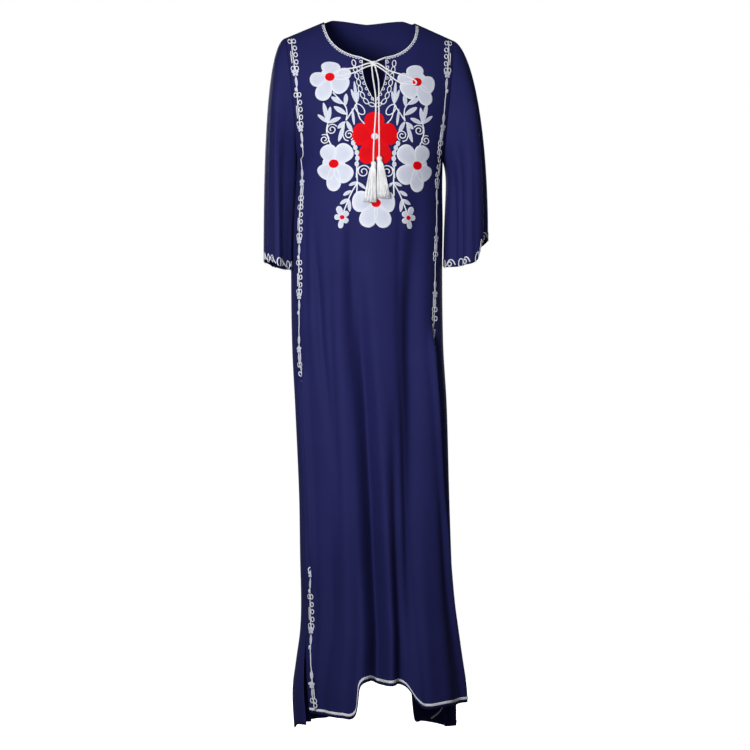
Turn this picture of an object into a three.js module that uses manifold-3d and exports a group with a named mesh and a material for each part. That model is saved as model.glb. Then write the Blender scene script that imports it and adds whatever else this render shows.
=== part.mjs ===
// An embroidered kaftan dress, hollow and open as when it is worn.
// Millimetres, +Z up, the front towards -Y, +X to the viewer's right.
// The origin lies midway between the shoulders, at the height of the neck points.
import * as THREE from "three";
import { mergeVertices } from "three/addons/utils/BufferGeometryUtils.js";
import Module from "manifold-3d";

const wasm = await Module();
wasm.setup();

const { clamp, lerp, degToRad: turn, radToDeg } = THREE.MathUtils;

// Cloth
const CLOTH = 1.6;
const SEAM_GAP = 0.3;
const SLEEVE_CLEARANCE = 2.5;

// Neck and shoulders
const NECK_HALF = 91;
const NECK_DROP = 79;
const NECK_POWER = 2.3;
const SLIT_HALF = 23;
const SHOULDER_SLOPE = 0.43;
const SHOULDER_HALF = 168;
const FRONT_CREST = 8;
const NAPE_CREST = 34;
const NAPE_POWER = 0.6;
const CHEST_Z = -200;
const SHOULDER_POWER = 2.2;

// Armholes
const SHOULDER_Z = -SHOULDER_SLOPE * (SHOULDER_HALF - NECK_HALF);
const UNDERARM_Z = -275;
const ARMHOLE_MIDDLE = (SHOULDER_Z + UNDERARM_Z) / 2;
const ARMHOLE_HALF = (SHOULDER_Z - UNDERARM_Z) / 2;
const ARMHOLE_FRONT = 50;
const ARMHOLE_BACK = 54;

// Hems
const SIDE_SLIT_Z = -1195;
const SIDE_SLIT_RUN = 160;
const SIDE_SLIT_SPREAD = 18;
const BRAID_WIDTH = 5;
const BRAID_ABOVE_HEM = 6;
const BRAID_THICK = 1;

// Tie and tassels
const CORD = 3;
const CORD_LIFT = 2.4;
const KNOT = { x: 0, z: -92, half: [8, 4.5, 5.5] };

// Rows and columns of the cloth's mesh
const UPPER_ROWS = 10;
const MIDDLE_ROWS = 12;
const LOWER_ROWS = 5;
const FRONT_COLUMNS = 34;
const BACK_COLUMNS = 46;
const BACK_BRAID_COLUMNS = 34;
const SLEEVE_ROUND = 20;
const SLEEVE_ROWS = 10;

// A short table as rows with named columns.
function table(names, rows) {
  return rows.map((row) => Object.fromEntries(names.map((name, i) => [name, row[i]])));
}

// The body's outline at each height: its left and right edges, and how far its front and back reach.
const SECTIONS = table(
  ["z", "left", "right", "front", "back"],
  [
    [10, -168, 168, 92, 94],
    [-33, -168, 168, 92, 94],
    [-80, -164, 164, 97, 98],
    [-130, -159, 159, 102, 104],
    [-190, -153, 153, 108, 106],
    [-240, -149.5, 149.5, 110, 103],
    [-275, -148, 148, 110, 101],
    [-330, -150, 147, 107, 97],
    [-400, -154, 148, 104, 94],
    [-494, -156, 147, 104, 98],
    [-644, -154, 149, 107, 108],
    [-764, -148, 156, 109, 111],
    [-944, -140, 161, 112, 114],
    [-1064, -138, 165, 115, 117],
    [-1154, -136, 169, 118, 120],
    [-1214, -138, 175, 122, 124],
    [-1274, -146, 181, 127, 128],
    [-1334, -153, 187, 132, 132],
    [-1420, -149, 188, 136, 136],
  ],
);

// The side seams, as angles round the body: 0 is its left edge, 90 the middle of the front and 180 its
// right edge.
const SEAMS = table(
  ["z", "left", "right"],
  [
    [-275, 0, 180],
    [-340, 10, 168],
    [-494, 16, 160],
    [-650, 14, 157],
    [-764, 13, 158],
    [-900, 14, 160],
    [-1068, 16, 167],
    [-1234, 20, 174],
    [-1334, 28, 178],
    [-1420, 30, 178],
  ],
);

// Heights of the hems round the body. Both are caught up in the middle, and the back is longer.
const FRONT_HEM = table(
  ["angle", "z"],
  [
    [26, -1370],
    [62, -1373],
    [70.5, -1368],
    [75.5, -1316],
    [83, -1303],
    [89, -1311],
    [105, -1311],
    [110, -1319],
    [115, -1347],
    [120, -1359],
    [139, -1356],
    [149, -1357],
    [180, -1352],
  ],
);
const BACK_HEM = table(
  ["angle", "z"],
  [
    [176, -1406],
    [215, -1417],
    [230, -1409],
    [236, -1404],
    [242, -1330],
    [262, -1318],
    [284, -1330],
    [298, -1390],
    [330, -1402],
    [350, -1400],
    [362, -1406],
    [374, -1396],
    [392, -1392],
  ],
);

// The neck slit's edges below the neckline. It is held open by the tie.
const SLIT = table(
  ["z", "left", "right"],
  [
    [-113, -21, 21.5],
    [-137, -15, 19],
    [-154, -7, 14.5],
    [-163, -1, 9],
    [-167, 3, 5],
  ],
);

// How far each panel's edge leaves the side seam at the hem, outwards.
const SLIT_SPREADS = { frontLeft: -8, frontRight: 3, backLeft: 3, backRight: -12 };

// Folds: where each starts, its angle and depth halfway and at its end, and its spread in degrees.
// A ridge has a negative depth.
const FOLDS = table(
  ["startZ", "startAngle", "midZ", "midAngle", "midDepth", "endZ", "endAngle", "endDepth", "spread"],
  [
    [-330, 79, -820, 81, 26, -1420, 86, 38, 6.5],
    [-300, 73, -520, 74, 8, -820, 75, 0, 4],
    [-350, 41, -600, 47, 10, -940, 57, 0, 4.5],
    [-260, 128, -640, 122, 18, -1420, 106, 18, 9],
    [-700, 103, -1000, 102.5, 12, -1420, 103, 22, 4],
    [-860, 52, -1150, 49, 7, -1420, 43, 9, 6],
    [-480, 149, -760, 148.5, 8, -1020, 149, 0, 4],
    [-240, 64, -700, 65, -6, -1420, 63, -8, 6],
    [-800, 94, -1150, 95.5, -7, -1420, 95, -8, 4],
    [-500, 137, -1000, 138, -6, -1420, 140, -7, 7],
    [-330, 207, -900, 205, 11, -1420, 202, 16, 6.5],
    [-260, 229, -820, 232, 17, -1420, 234, 26, 7.5],
    [-420, 252, -980, 257, 9, -1420, 260, 15, 6],
    [-240, 280, -860, 284, 22, -1420, 282, 30, 8],
    [-380, 306, -900, 309, 11, -1420, 308, 18, 6],
    [-280, 331, -940, 335, 14, -1420, 333, 21, 7],
    [-500, 218, -1000, 218, -4, -1420, 218, -6, 6],
    [-500, 296, -1000, 297, -5, -1420, 296, -7, 6],
  ],
);

// The value of a column at a place along another, on a smooth curve through the rows.
function smooth(rows, key, column, at) {
  const last = rows.length - 1;
  const down = rows[last][key] < rows[0][key];
  let i = 0;
  while (i < last - 1 && (down ? at < rows[i + 1][key] : at > rows[i + 1][key])) i += 1;
  const slope = (j) => {
    const before = rows[Math.max(j - 1, 0)];
    const after = rows[Math.min(j + 1, last)];
    return (after[column] - before[column]) / (after[key] - before[key]);
  };
  const span = rows[i + 1][key] - rows[i][key];
  const t = clamp((at - rows[i][key]) / span, 0, 1);
  const start = 2 * t ** 3 - 3 * t ** 2 + 1;
  const leave = t ** 3 - 2 * t ** 2 + t;
  const arrive = t ** 3 - t ** 2;
  return rows[i][column] * start + rows[i + 1][column] * (1 - start)
    + span * (slope(i) * leave + slope(i + 1) * arrive);
}

const ease = (from, to, value) => THREE.MathUtils.smoothstep(value, from, to);

// The smallest turn between two angles.
function apart(angle, other) {
  return Math.abs(((angle - other + 540) % 360) - 180);
}

// How deep all the folds are at one place.
function foldDepth(z, angle) {
  let depth = 0;
  for (const fold of FOLDS) {
    const isUpper = z > fold.midZ;
    const grown = ease(-fold.startZ, -fold.midZ, -z);
    const run = clamp((fold.midZ - z) / (fold.midZ - fold.endZ), 0, 1);
    const { startAngle, midAngle, endAngle } = fold;
    const at = isUpper ? lerp(startAngle, midAngle, grown) : lerp(midAngle, endAngle, run);
    const deep = isUpper ? fold.midDepth * grown : lerp(fold.midDepth, fold.endDepth, run);
    depth += deep * Math.exp(-((apart(angle, at) / fold.spread) ** 2));
  }
  return depth;
}

// The line of the shoulders, and the virtual crest above the open neck, that the cloth rounds over towards.
function crestHeight(x, rise, power) {
  const beyond = Math.abs(x) - NECK_HALF;
  if (beyond >= 0) return -SHOULDER_SLOPE * beyond;
  return rise * (1 - (x / NECK_HALF) ** 2) ** power;
}

// The top edge of the back panel dips below the crest at the neck.
const BACK_NECK = table(
  ["x", "z"],
  [
    [0, 3],
    [68, 8],
    [91, 0],
  ],
);

function topHeight(x, isFront) {
  if (isFront) return crestHeight(x, FRONT_CREST, 1);
  if (Math.abs(x) >= NECK_HALF) return crestHeight(x, 0, 1);
  return smooth(BACK_NECK, "x", "z", Math.abs(x));
}

function bodyWidth(z) {
  const left = smooth(SECTIONS, "z", "left", z);
  const right = smooth(SECTIONS, "z", "right", z);
  return { middle: (left + right) / 2, half: (right - left) / 2 };
}

function armholeDepth(z, isFront) {
  const height = (z - ARMHOLE_MIDDLE) / ARMHOLE_HALF;
  return (isFront ? ARMHOLE_FRONT : ARMHOLE_BACK) * Math.sqrt(Math.max(0, 1 - height ** 2));
}

// How far the chest or the back reaches at a place, less what the shoulders round off.
function roundedDepth(x, z, isFront) {
  const depth = smooth(SECTIONS, "z", isFront ? "front" : "back", z);
  const crest = isFront ? crestHeight(x, FRONT_CREST, 1) : crestHeight(x, NAPE_CREST, NAPE_POWER);
  const rise = clamp((z - CHEST_Z) / (crest - CHEST_Z), 0, 1);
  return depth * Math.sqrt(1 - rise ** SHOULDER_POWER);
}

// The oval that a panel follows at a height. Above the underarm it is wider, and the armholes cut it off.
function oval(z, angle, isFront) {
  const { middle, half } = bodyWidth(z);
  const around = turn(angle);
  if (z <= UNDERARM_Z) return { middle, wide: half, around };
  const low = Math.min(z, SHOULDER_Z - 1);
  const cut = Math.asin(armholeDepth(low, isFront) / roundedDepth(bodyWidth(low).half, low, isFront));
  const from = isFront ? 0 : Math.PI;
  const within = (around - from) * (1 - (2 * cut) / Math.PI);
  return { middle, wide: half / Math.cos(cut), around: from + cut + within };
}

// A place on the outer face of the body, from its height and its angle round the body.
function bodyPoint(z, angle, isFront, push = 0) {
  const { middle, wide, around } = oval(z, angle, isFront);
  const x = middle - wide * Math.cos(around);
  const facing = isFront ? -1 : 1;
  const round = Math.abs(Math.sin(around));
  const seam = z > UNDERARM_Z ? SEAM_GAP / 2 : 0;
  const depth = roundedDepth(x, z, isFront);
  const normal = new THREE.Vector2(-Math.cos(around) * depth, facing * round * wide).normalize();
  const out = push - foldDepth(z, radToDeg(around));
  return new THREE.Vector3(x + normal.x * out, facing * (depth * round + seam) + normal.y * out, z);
}

// Below the underarm the back panel reaches round to the front, so the side comes from the angle.
function isFronting(angle) {
  return Math.sin(turn(angle)) >= 0;
}

const SIDES = {
  front: { isFront: true, from: 0, to: 180, hem: FRONT_HEM, columns: FRONT_COLUMNS },
  back: { isFront: false, from: 180, to: 360, hem: BACK_HEM, columns: BACK_COLUMNS },
};

// The angle of a side seam at a height.
function seamAngle(z, edge) {
  return smooth(SEAMS, "z", edge, Math.min(z, UNDERARM_Z));
}

// How far a panel moves outwards beside a side slit.
function slitPush(side, z, angle) {
  const open = ease(0, SIDE_SLIT_RUN, SIDE_SLIT_Z - z);
  const near = (edge) => Math.exp(-((apart(angle, seamAngle(z, edge)) / SIDE_SLIT_SPREAD) ** 2));
  const left = side.isFront ? SLIT_SPREADS.frontLeft : SLIT_SPREADS.backLeft;
  const right = side.isFront ? SLIT_SPREADS.frontRight : SLIT_SPREADS.backRight;
  return open * (left * near("left") + right * near("right"));
}

// A place on a panel: above the underarm the panel ends at the armholes, and below it at the seams.
function panelPoint(side, z, angle) {
  const isFront = z > UNDERARM_Z ? side.isFront : isFronting(angle);
  return bodyPoint(z, angle, isFront, slitPush(side, z, angle));
}

// The outward normal of a panel, from places close by that are still on it.
function panelNormal(side, z, angle, top) {
  const above = z > UNDERARM_Z;
  const step = above ? 2.5 : 1;
  const rise = 2;
  const next = above ? Math.min(angle + step, side.to) : angle + step;
  const before = above ? Math.max(angle - step, side.from) : angle - step;
  const higher = Math.min(z + rise, above ? top : UNDERARM_Z);
  const lower = above ? Math.max(z - rise, UNDERARM_Z + 0.5) : z - rise;
  const along = panelPoint(side, z, next).sub(panelPoint(side, z, before));
  const upward = panelPoint(side, higher, angle).sub(panelPoint(side, lower, angle));
  return along.cross(upward).normalize();
}

// The angle of a column at a height, with the seam gap left open.
function columnAngle(side, z, share) {
  if (z > UNDERARM_Z) return side.from + (side.to - side.from) * share;
  const gap = radToDeg(SEAM_GAP / 2 / smooth(SECTIONS, "z", "front", z));
  const left = seamAngle(z, "left");
  const right = seamAngle(z, "right");
  const from = side.isFront ? left + gap : right + gap;
  const to = side.isFront ? right - gap : left + 360 - gap;
  return from + (to - from) * share;
}

// The heights of one column's places, from the top edge down to the hem.
function columnHeights(side, share) {
  const angle = columnAngle(side, 0, share);
  let top = 0;
  for (let i = 0; i < 8; i += 1) {
    const { middle, wide, around } = oval(top, angle, side.isFront);
    top = topHeight(middle - wide * Math.cos(around), side.isFront);
  }
  const heights = [];
  for (let i = 0; i < UPPER_ROWS; i += 1) {
    const down = (1 - Math.cos((Math.PI * i) / UPPER_ROWS)) / 2;
    heights.push(top + (UNDERARM_Z - top) * down);
  }
  for (let i = 0; i < MIDDLE_ROWS; i += 1) {
    heights.push(UNDERARM_Z + ((SIDE_SLIT_Z - UNDERARM_Z) * i) / MIDDLE_ROWS);
  }
  const hem = smooth(side.hem, "angle", "z", columnAngle(side, SIDE_SLIT_Z - SIDE_SLIT_RUN, share));
  const braidTop = hem + BRAID_ABOVE_HEM + BRAID_WIDTH;
  for (let i = 0; i < LOWER_ROWS; i += 1) {
    heights.push(SIDE_SLIT_Z + ((braidTop - SIDE_SLIT_Z) * i) / LOWER_ROWS);
  }
  heights.push(braidTop, hem + BRAID_ABOVE_HEM, hem);
  return { top, heights };
}

// A panel's places and normals, row by row, from its left column to its right one.
function panelGrid(side) {
  const columns = [];
  for (let j = 0; j <= side.columns; j += 1) {
    const share = j / side.columns;
    const { top, heights } = columnHeights(side, share);
    columns.push(heights.map((z) => {
      const angle = columnAngle(side, z, share);
      return { at: panelPoint(side, z, angle), normal: panelNormal(side, z, angle, top) };
    }));
  }
  return columns[0].map((_, i) => columns.map((column) => column[i]));
}

// The seam over the shoulder: neither panel crosses the plane between them above the underarm.
function keepOnSide(point, isFront) {
  if (point.z <= UNDERARM_Z) return point;
  const limit = SEAM_GAP / 2;
  point.y = isFront ? Math.min(point.y, -limit) : Math.max(point.y, limit);
  return point;
}

// A closed wall between an outer and an inner grid of places. A ring's columns close on themselves.
// Each patch is split along its shorter diagonal, which follows the folds.
function wallGeometry(outer, inner, isRing) {
  const rows = outer.length;
  const columns = outer[0].length;
  const places = [...outer.flat(), ...inner.flat()].flatMap((point) => point.toArray());
  const out = (i, j) => i * columns + (j % columns);
  const into = (i, j) => rows * columns + out(i, j);
  const faces = [];
  const quad = (a, b, c, d) => faces.push(a, b, c, a, c, d);
  const patch = (a, b, c, d, leans) => (leans ? quad(b, c, d, a) : quad(a, b, c, d));
  const spans = isRing ? columns : columns - 1;
  for (let j = 0; j < spans; j += 1) {
    const next = (j + 1) % columns;
    for (let i = 0; i < rows - 1; i += 1) {
      const falling = outer[i][j].distanceTo(outer[i + 1][next]);
      const leans = outer[i + 1][j].distanceTo(outer[i][next]) < falling;
      patch(out(i, j), out(i + 1, j), out(i + 1, j + 1), out(i, j + 1), leans);
      patch(into(i, j), into(i, j + 1), into(i + 1, j + 1), into(i + 1, j), leans);
    }
    quad(out(0, j), out(0, j + 1), into(0, j + 1), into(0, j));
    quad(out(rows - 1, j), into(rows - 1, j), into(rows - 1, j + 1), out(rows - 1, j + 1));
  }
  for (let i = 0; i < rows - 1 && !isRing; i += 1) {
    quad(out(i, 0), into(i, 0), into(i + 1, 0), out(i + 1, 0));
    quad(out(i, columns - 1), out(i + 1, columns - 1), into(i + 1, columns - 1), into(i, columns - 1));
  }
  const geometry = new THREE.BufferGeometry();
  geometry.setAttribute("position", new THREE.Float32BufferAttribute(places, 3));
  geometry.setIndex(faces);
  return facingOut(geometry);
}

// Turns a closed mesh the right way out.
function facingOut(geometry) {
  const index = geometry.getIndex().array;
  const position = geometry.getAttribute("position");
  const corner = (i) => new THREE.Vector3().fromBufferAttribute(position, index[i]);
  let volume = 0;
  for (let i = 0; i < index.length; i += 3) {
    volume += corner(i).dot(corner(i + 1).cross(corner(i + 2)));
  }
  if (volume < 0) {
    for (let i = 0; i < index.length; i += 3) [index[i], index[i + 1]] = [index[i + 1], index[i]];
  }
  return geometry;
}

// Joining and cutting
function solidOf(geometry) {
  const bare = geometry.clone();
  bare.deleteAttribute("normal");
  bare.deleteAttribute("uv");
  const merged = mergeVertices(bare, 1e-3);
  return new wasm.Manifold(new wasm.Mesh({
    numProp: 3,
    vertProperties: merged.getAttribute("position").array,
    triVerts: new Uint32Array(merged.getIndex().array),
  }));
}

function geometryOf(solid) {
  const mesh = solid.getMesh();
  const geometry = new THREE.BufferGeometry();
  geometry.setAttribute("position", new THREE.BufferAttribute(mesh.vertProperties, 3));
  geometry.setIndex(new THREE.BufferAttribute(mesh.triVerts, 1));
  return geometry;
}

const CLOTH_BLUE = new THREE.MeshStandardMaterial({ color: 0x22244c, roughness: 0.85, metalness: 0 });
const BRAID_WHITE = new THREE.MeshStandardMaterial({ color: 0xe9eaf2, roughness: 0.8, metalness: 0 });
const TIE_WHITE = new THREE.MeshStandardMaterial({ color: 0xf3f3f7, roughness: 0.75, metalness: 0 });

const dress = new THREE.Group();

function addPiece(name, geometry, material) {
  const piece = new THREE.Mesh(geometry, material);
  piece.name = name;
  dress.add(piece);
}

// Panels
function panelGeometry(grid, isFront) {
  const outer = grid.map((row) => row.map(({ at }) => keepOnSide(at.clone(), isFront)));
  const inner = grid.map((row) => row.map(({ at, normal }) => (
    keepOnSide(at.clone().addScaledVector(normal, -CLOTH), isFront)
  )));
  return wallGeometry(outer, inner, false);
}

// The height of the front neckline.
function neckHeight(x) {
  return -NECK_DROP * Math.max(0, 1 - Math.abs(x / NECK_HALF) ** NECK_POWER) ** (1 / NECK_POWER);
}

// The neck opening and the slit below it, as a cutter that runs through the front alone.
function neckCutter() {
  const arcSteps = 14;
  const above = 60;
  const outline = new THREE.Shape();
  outline.moveTo(-NECK_HALF, above);
  const arc = (sign) => {
    const places = [];
    for (let i = 0; i <= arcSteps; i += 1) {
      const x = NECK_HALF * Math.cos((Math.PI / 2) * (i / arcSteps));
      if (x > SLIT_HALF) places.push([sign * x, neckHeight(x)]);
    }
    places.push([sign * SLIT_HALF, neckHeight(SLIT_HALF)]);
    return places;
  };
  for (const [x, z] of arc(-1)) outline.lineTo(x, z);
  for (const { z, left } of SLIT) outline.lineTo(left, z);
  for (const { z, right } of [...SLIT].reverse()) outline.lineTo(right, z);
  for (const [x, z] of arc(1).reverse()) outline.lineTo(x, z);
  outline.lineTo(NECK_HALF, above);
  const cutter = new THREE.ExtrudeGeometry(outline, { depth: 260, bevelEnabled: false });
  cutter.rotateX(Math.PI / 2);
  cutter.translate(0, 5, 0);
  return cutter;
}

const frontGrid = panelGrid(SIDES.front);
const backGrid = panelGrid(SIDES.back);
const frontSolid = solidOf(panelGeometry(frontGrid, true)).subtract(solidOf(neckCutter()));
addPiece("front_panel", geometryOf(frontSolid), CLOTH_BLUE);
addPiece("back_panel", panelGeometry(backGrid, false), CLOTH_BLUE);

// Braid along a hem: the panel's own places just above the hem, moved out.
function braidGeometry(grid, from, to) {
  const edge = [grid[grid.length - 3], grid[grid.length - 2]].map((row) => row.slice(from, to));
  const lifted = (lift) => (
    edge.map((row) => row.map(({ at, normal }) => at.clone().addScaledVector(normal, lift)))
  );
  return wallGeometry(lifted(SEAM_GAP + BRAID_THICK), lifted(SEAM_GAP), false);
}

addPiece("front_hem_braid", braidGeometry(frontGrid, 0, FRONT_COLUMNS + 1), BRAID_WHITE);
// The back's braid stops short of the left slit.
addPiece("back_hem_braid", braidGeometry(backGrid, 0, BACK_BRAID_COLUMNS + 1), BRAID_WHITE);

// Sleeves. Angles run round a sleeve: 0 is its top and outer side, 90 the front, 180 the underarm and 270
// the back.
// Each row gives the way that the cloth leaves the armhole, and how far.
const SLEEVE_STARTS = table(
  ["angle", "out", "forward", "up", "run"],
  [
    [-90, 0.72, -0.08, -0.6, 64],
    [0, 0.9, 0, -0.22, 46],
    [90, 0.72, 0.08, -0.6, 64],
    [180, 0.3, 0, -0.95, 40],
    [270, 0.72, -0.08, -0.6, 64],
    [360, 0.9, 0, -0.22, 46],
    [450, 0.72, 0.08, -0.6, 64],
  ],
);

// The cuffs: their outer edge across the body, how far their front leans in over the body's side, and the
// height of the hem round them. The pulls draw the upper sleeve in on its outer and its inner side.
const LEAN_ANGLE = 142;
const LEAN_SPREAD = 24;
const SLEEVES = {
  left: {
    sign: -1,
    outer: 211,
    outerPull: 14,
    innerPull: 9,
    lean: 10,
    depth: 76,
    centre: -5,
    hem: table(
      ["angle", "z"],
      [
        [-90, -486],
        [0, -476],
        [90, -488],
        [180, -494],
        [270, -486],
        [360, -476],
        [450, -488],
      ],
    ),
    folds: table(
      ["angle", "depth", "spread"],
      [
        [52, 5, 16],
        [112, 13, 15],
        [232, 8, 18],
        [300, 5, 16],
      ],
    ),
  },
  right: {
    sign: 1,
    outer: 240,
    outerPull: 10,
    innerPull: -2,
    lean: 0,
    depth: 74,
    centre: -5,
    hem: table(
      ["angle", "z"],
      [
        [-90, -468],
        [0, -434],
        [40, -439],
        [58, -446],
        [72, -476],
        [110, -486],
        [180, -488],
        [270, -468],
        [360, -434],
        [400, -439],
      ],
    ),
    folds: table(
      ["angle", "depth", "spread"],
      [
        [33, 16, 12],
        [124, 12, 16],
        [238, 9, 18],
        [306, 6, 16],
      ],
    ),
  },
};

// The body's edge on one side, as a distance from the middle plane.
function sideEdge(z, sign) {
  const { middle, half } = bodyWidth(z);
  return half + sign * middle;
}

function sleevePoint(sleeve, angle, share) {
  const around = turn(angle);
  const startZ = ARMHOLE_MIDDLE + ARMHOLE_HALF * Math.cos(around);
  const forward = Math.sin(around) * armholeLoop(around);
  const start = new THREE.Vector3(sideEdge(startZ, sleeve.sign) + SEAM_GAP, -forward, startZ);
  const way = (column) => smooth(SLEEVE_STARTS, "angle", column, angle);
  const leave = new THREE.Vector3(way("out"), -way("forward"), way("up")).normalize();
  const hemZ = smooth(sleeve.hem, "angle", "z", angle);
  const innerEdge = sideEdge(hemZ, sleeve.sign) + SLEEVE_CLEARANCE + SEAM_GAP;
  const cuffMiddle = (sleeve.outer + innerEdge) / 2;
  const cuffHalf = (sleeve.outer - innerEdge) / 2;
  const crush = sleeve.folds.reduce((sum, fold) => (
    sum + fold.depth * Math.exp(-((apart(angle, fold.angle) / fold.spread) ** 2))
  ), 0);
  const lean = sleeve.lean * Math.exp(-((apart(angle, LEAN_ANGLE) / LEAN_SPREAD) ** 2));
  const cuff = new THREE.Vector3(
    cuffMiddle + (cuffHalf - crush) * Math.cos(around) - lean,
    sleeve.centre - (sleeve.depth - crush) * Math.sin(around),
    hemZ,
  );
  const drop = startZ - hemZ;
  const leaving = start.clone().addScaledVector(leave, way("run"));
  leaving.x -= lerp(sleeve.innerPull, sleeve.outerPull, (1 + Math.cos(around)) / 2);
  const curve = new THREE.CubicBezierCurve3(
    start,
    leaving,
    cuff.clone().add(new THREE.Vector3(0, 0, drop * 0.62)),
    cuff,
  );
  const point = curve.getPoint(share);
  point.x *= sleeve.sign;
  return point;
}

function armholeLoop(around) {
  return Math.sin(around) >= 0 ? ARMHOLE_FRONT : ARMHOLE_BACK;
}

function sleeveGeometry(sleeve) {
  const outer = [];
  const inner = [];
  for (let i = 0; i <= SLEEVE_ROWS; i += 1) {
    const share = i / SLEEVE_ROWS;
    const outerRow = [];
    const innerRow = [];
    for (let j = 0; j < SLEEVE_ROUND; j += 1) {
      const angle = (360 * j) / SLEEVE_ROUND;
      const at = sleevePoint(sleeve, angle, share);
      const along = sleevePoint(sleeve, angle, Math.min(share + 0.02, 1))
        .sub(sleevePoint(sleeve, angle, Math.max(share - 0.02, 0)));
      const across = sleevePoint(sleeve, (angle + 3) % 360, share)
        .sub(sleevePoint(sleeve, (angle + 357) % 360, share));
      const normal = along.cross(across).normalize().multiplyScalar(-sleeve.sign);
      const inside = at.clone().addScaledVector(normal, -CLOTH);
      if (i === 0) {
        const limit = sideEdge(inside.z, sleeve.sign) + SEAM_GAP;
        inside.x = sleeve.sign * Math.max(inside.x * sleeve.sign, limit);
      }
      outerRow.push(at);
      innerRow.push(inside);
    }
    outer.push(outerRow);
    inner.push(innerRow);
  }
  return wallGeometry(outer, inner, true);
}

addPiece("sleeve_left", sleeveGeometry(SLEEVES.left), CLOTH_BLUE);
addPiece("sleeve_right", sleeveGeometry(SLEEVES.right), CLOTH_BLUE);

// How far forward the front's outer face lies at a place seen from the front.
function frontFace(x, z) {
  let low = 20;
  let high = 160;
  for (let i = 0; i < 30; i += 1) {
    const angle = (low + high) / 2;
    if (bodyPoint(z, angle, true).x < x) low = angle;
    else high = angle;
  }
  return bodyPoint(z, (low + high) / 2, true).y;
}

// Tie: each stretch's route over the cloth, as places seen from the front.
const TIE = {
  tie_neck_left: [[-25, -79.5], [-19, -82], [-12, -85], [-6.4, -87.4]],
  tie_neck_right: [[25, -79], [19, -81.5], [12, -84.7], [6.4, -87.4]],
  tie_loop_left: [
    [-8.9, -91.8], [-15, -93.2], [-22, -96], [-32, -99.6], [-42, -102], [-52, -103.2], [-60, -104.4],
    [-66.5, -108], [-69.5, -113], [-67, -117.2], [-60, -117.2], [-51, -115], [-42, -112.2], [-32, -108.6],
    [-23, -103.6], [-15, -99.6], [-6.7, -96.6],
  ],
  tie_loop_right: [
    [8.9, -91.8], [17, -96.5], [25, -102.5], [34, -107], [44, -110], [55, -113], [66, -116.5], [77, -120.6],
    [84, -125.5], [85, -130.5], [80, -133], [70, -132.2], [60, -131], [51, -129], [43, -124.6],
    [35, -118.6], [27, -111.5], [18, -104], [6.7, -96.6],
  ],
  tie_end_left: [
    [-2.3, -98.4], [-2.6, -108], [-1.6, -120], [0.2, -134], [2, -148], [3.2, -162], [3.2, -178], [2.4, -196],
    [1.2, -214], [0, -232], [-1, -250], [-1.7, -268], [-2, -286],
  ],
  tie_end_right: [
    [2.3, -98.4], [5.2, -106], [8, -118], [9.6, -132], [9.8, -147], [9.4, -162], [9.2, -178], [9.2, -196],
    [9.2, -214], [9.3, -232], [9.4, -250], [9.5, -263], [9.5, -276],
  ],
};

function cordGeometry(route) {
  const places = route.map(([x, z]) => new THREE.Vector3(x, frontFace(x, z) - CORD_LIFT, z));
  const path = new THREE.CatmullRomCurve3(places);
  const section = new THREE.Shape().absarc(0, 0, CORD / 2, 0, Math.PI * 2);
  const steps = Math.max(3, Math.round(path.getLength() / (CORD * 2.4)));
  const options = { steps, curveSegments: 4, bevelEnabled: false, extrudePath: path };
  return new THREE.ExtrudeGeometry(section, options);
}

for (const [name, route] of Object.entries(TIE)) addPiece(name, cordGeometry(route), TIE_WHITE);

const knot = new THREE.SphereGeometry(1, 12, 8);
knot.scale(...KNOT.half);
knot.translate(KNOT.x, frontFace(KNOT.x, KNOT.z) - CORD_LIFT, KNOT.z);
addPiece("tie_knot", knot, TIE_WHITE);

// Tassels: a bound head with a skirt of strands that are joined at their roots.
const TASSEL = {
  lift: 6.6,
  headRadius: 4.2,
  headHeight: 11,
  rootHalf: 3.9,
  rootDepth: 1.7,
  hemHalf: 11.8,
  hemDepth: 4.6,
};
const STRANDS = [
  { count: 8, forward: -1 },
  { count: 7, forward: 0 },
  { count: 8, forward: 1 },
];
const STRAND_ROOT = 0.75;
const STRAND_TIP = 1.05;
const TASSELS = {
  tassel_left: { topX: -2, topZ: -286.6, hemX: -8.6, hemZ: -364 },
  tassel_right: { topX: 9.5, topZ: -276.6, hemX: 18.6, hemZ: -356 },
};

// A strand: a thin three-sided prism through a few places, thicker towards its tip.
function strandGeometry(places) {
  const sides = 3;
  const corners = [];
  places.forEach((place, i) => {
    const radius = lerp(STRAND_ROOT, STRAND_TIP, i / (places.length - 1));
    for (let k = 0; k < sides; k += 1) {
      const around = (2 * Math.PI * k) / sides;
      corners.push(place.x + radius * Math.cos(around), place.y + radius * Math.sin(around), place.z);
    }
  });
  const faces = [0, 1, 2];
  const end = corners.length / 3 - sides;
  faces.push(end, end + 2, end + 1);
  for (let i = 0; i < places.length - 1; i += 1) {
    for (let k = 0; k < sides; k += 1) {
      const a = i * sides + k;
      const b = i * sides + ((k + 1) % sides);
      faces.push(a, a + sides, b, b, a + sides, b + sides);
    }
  }
  const geometry = new THREE.BufferGeometry();
  geometry.setAttribute("position", new THREE.Float32BufferAttribute(corners, 3));
  geometry.setIndex(faces);
  return facingOut(geometry);
}

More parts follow.
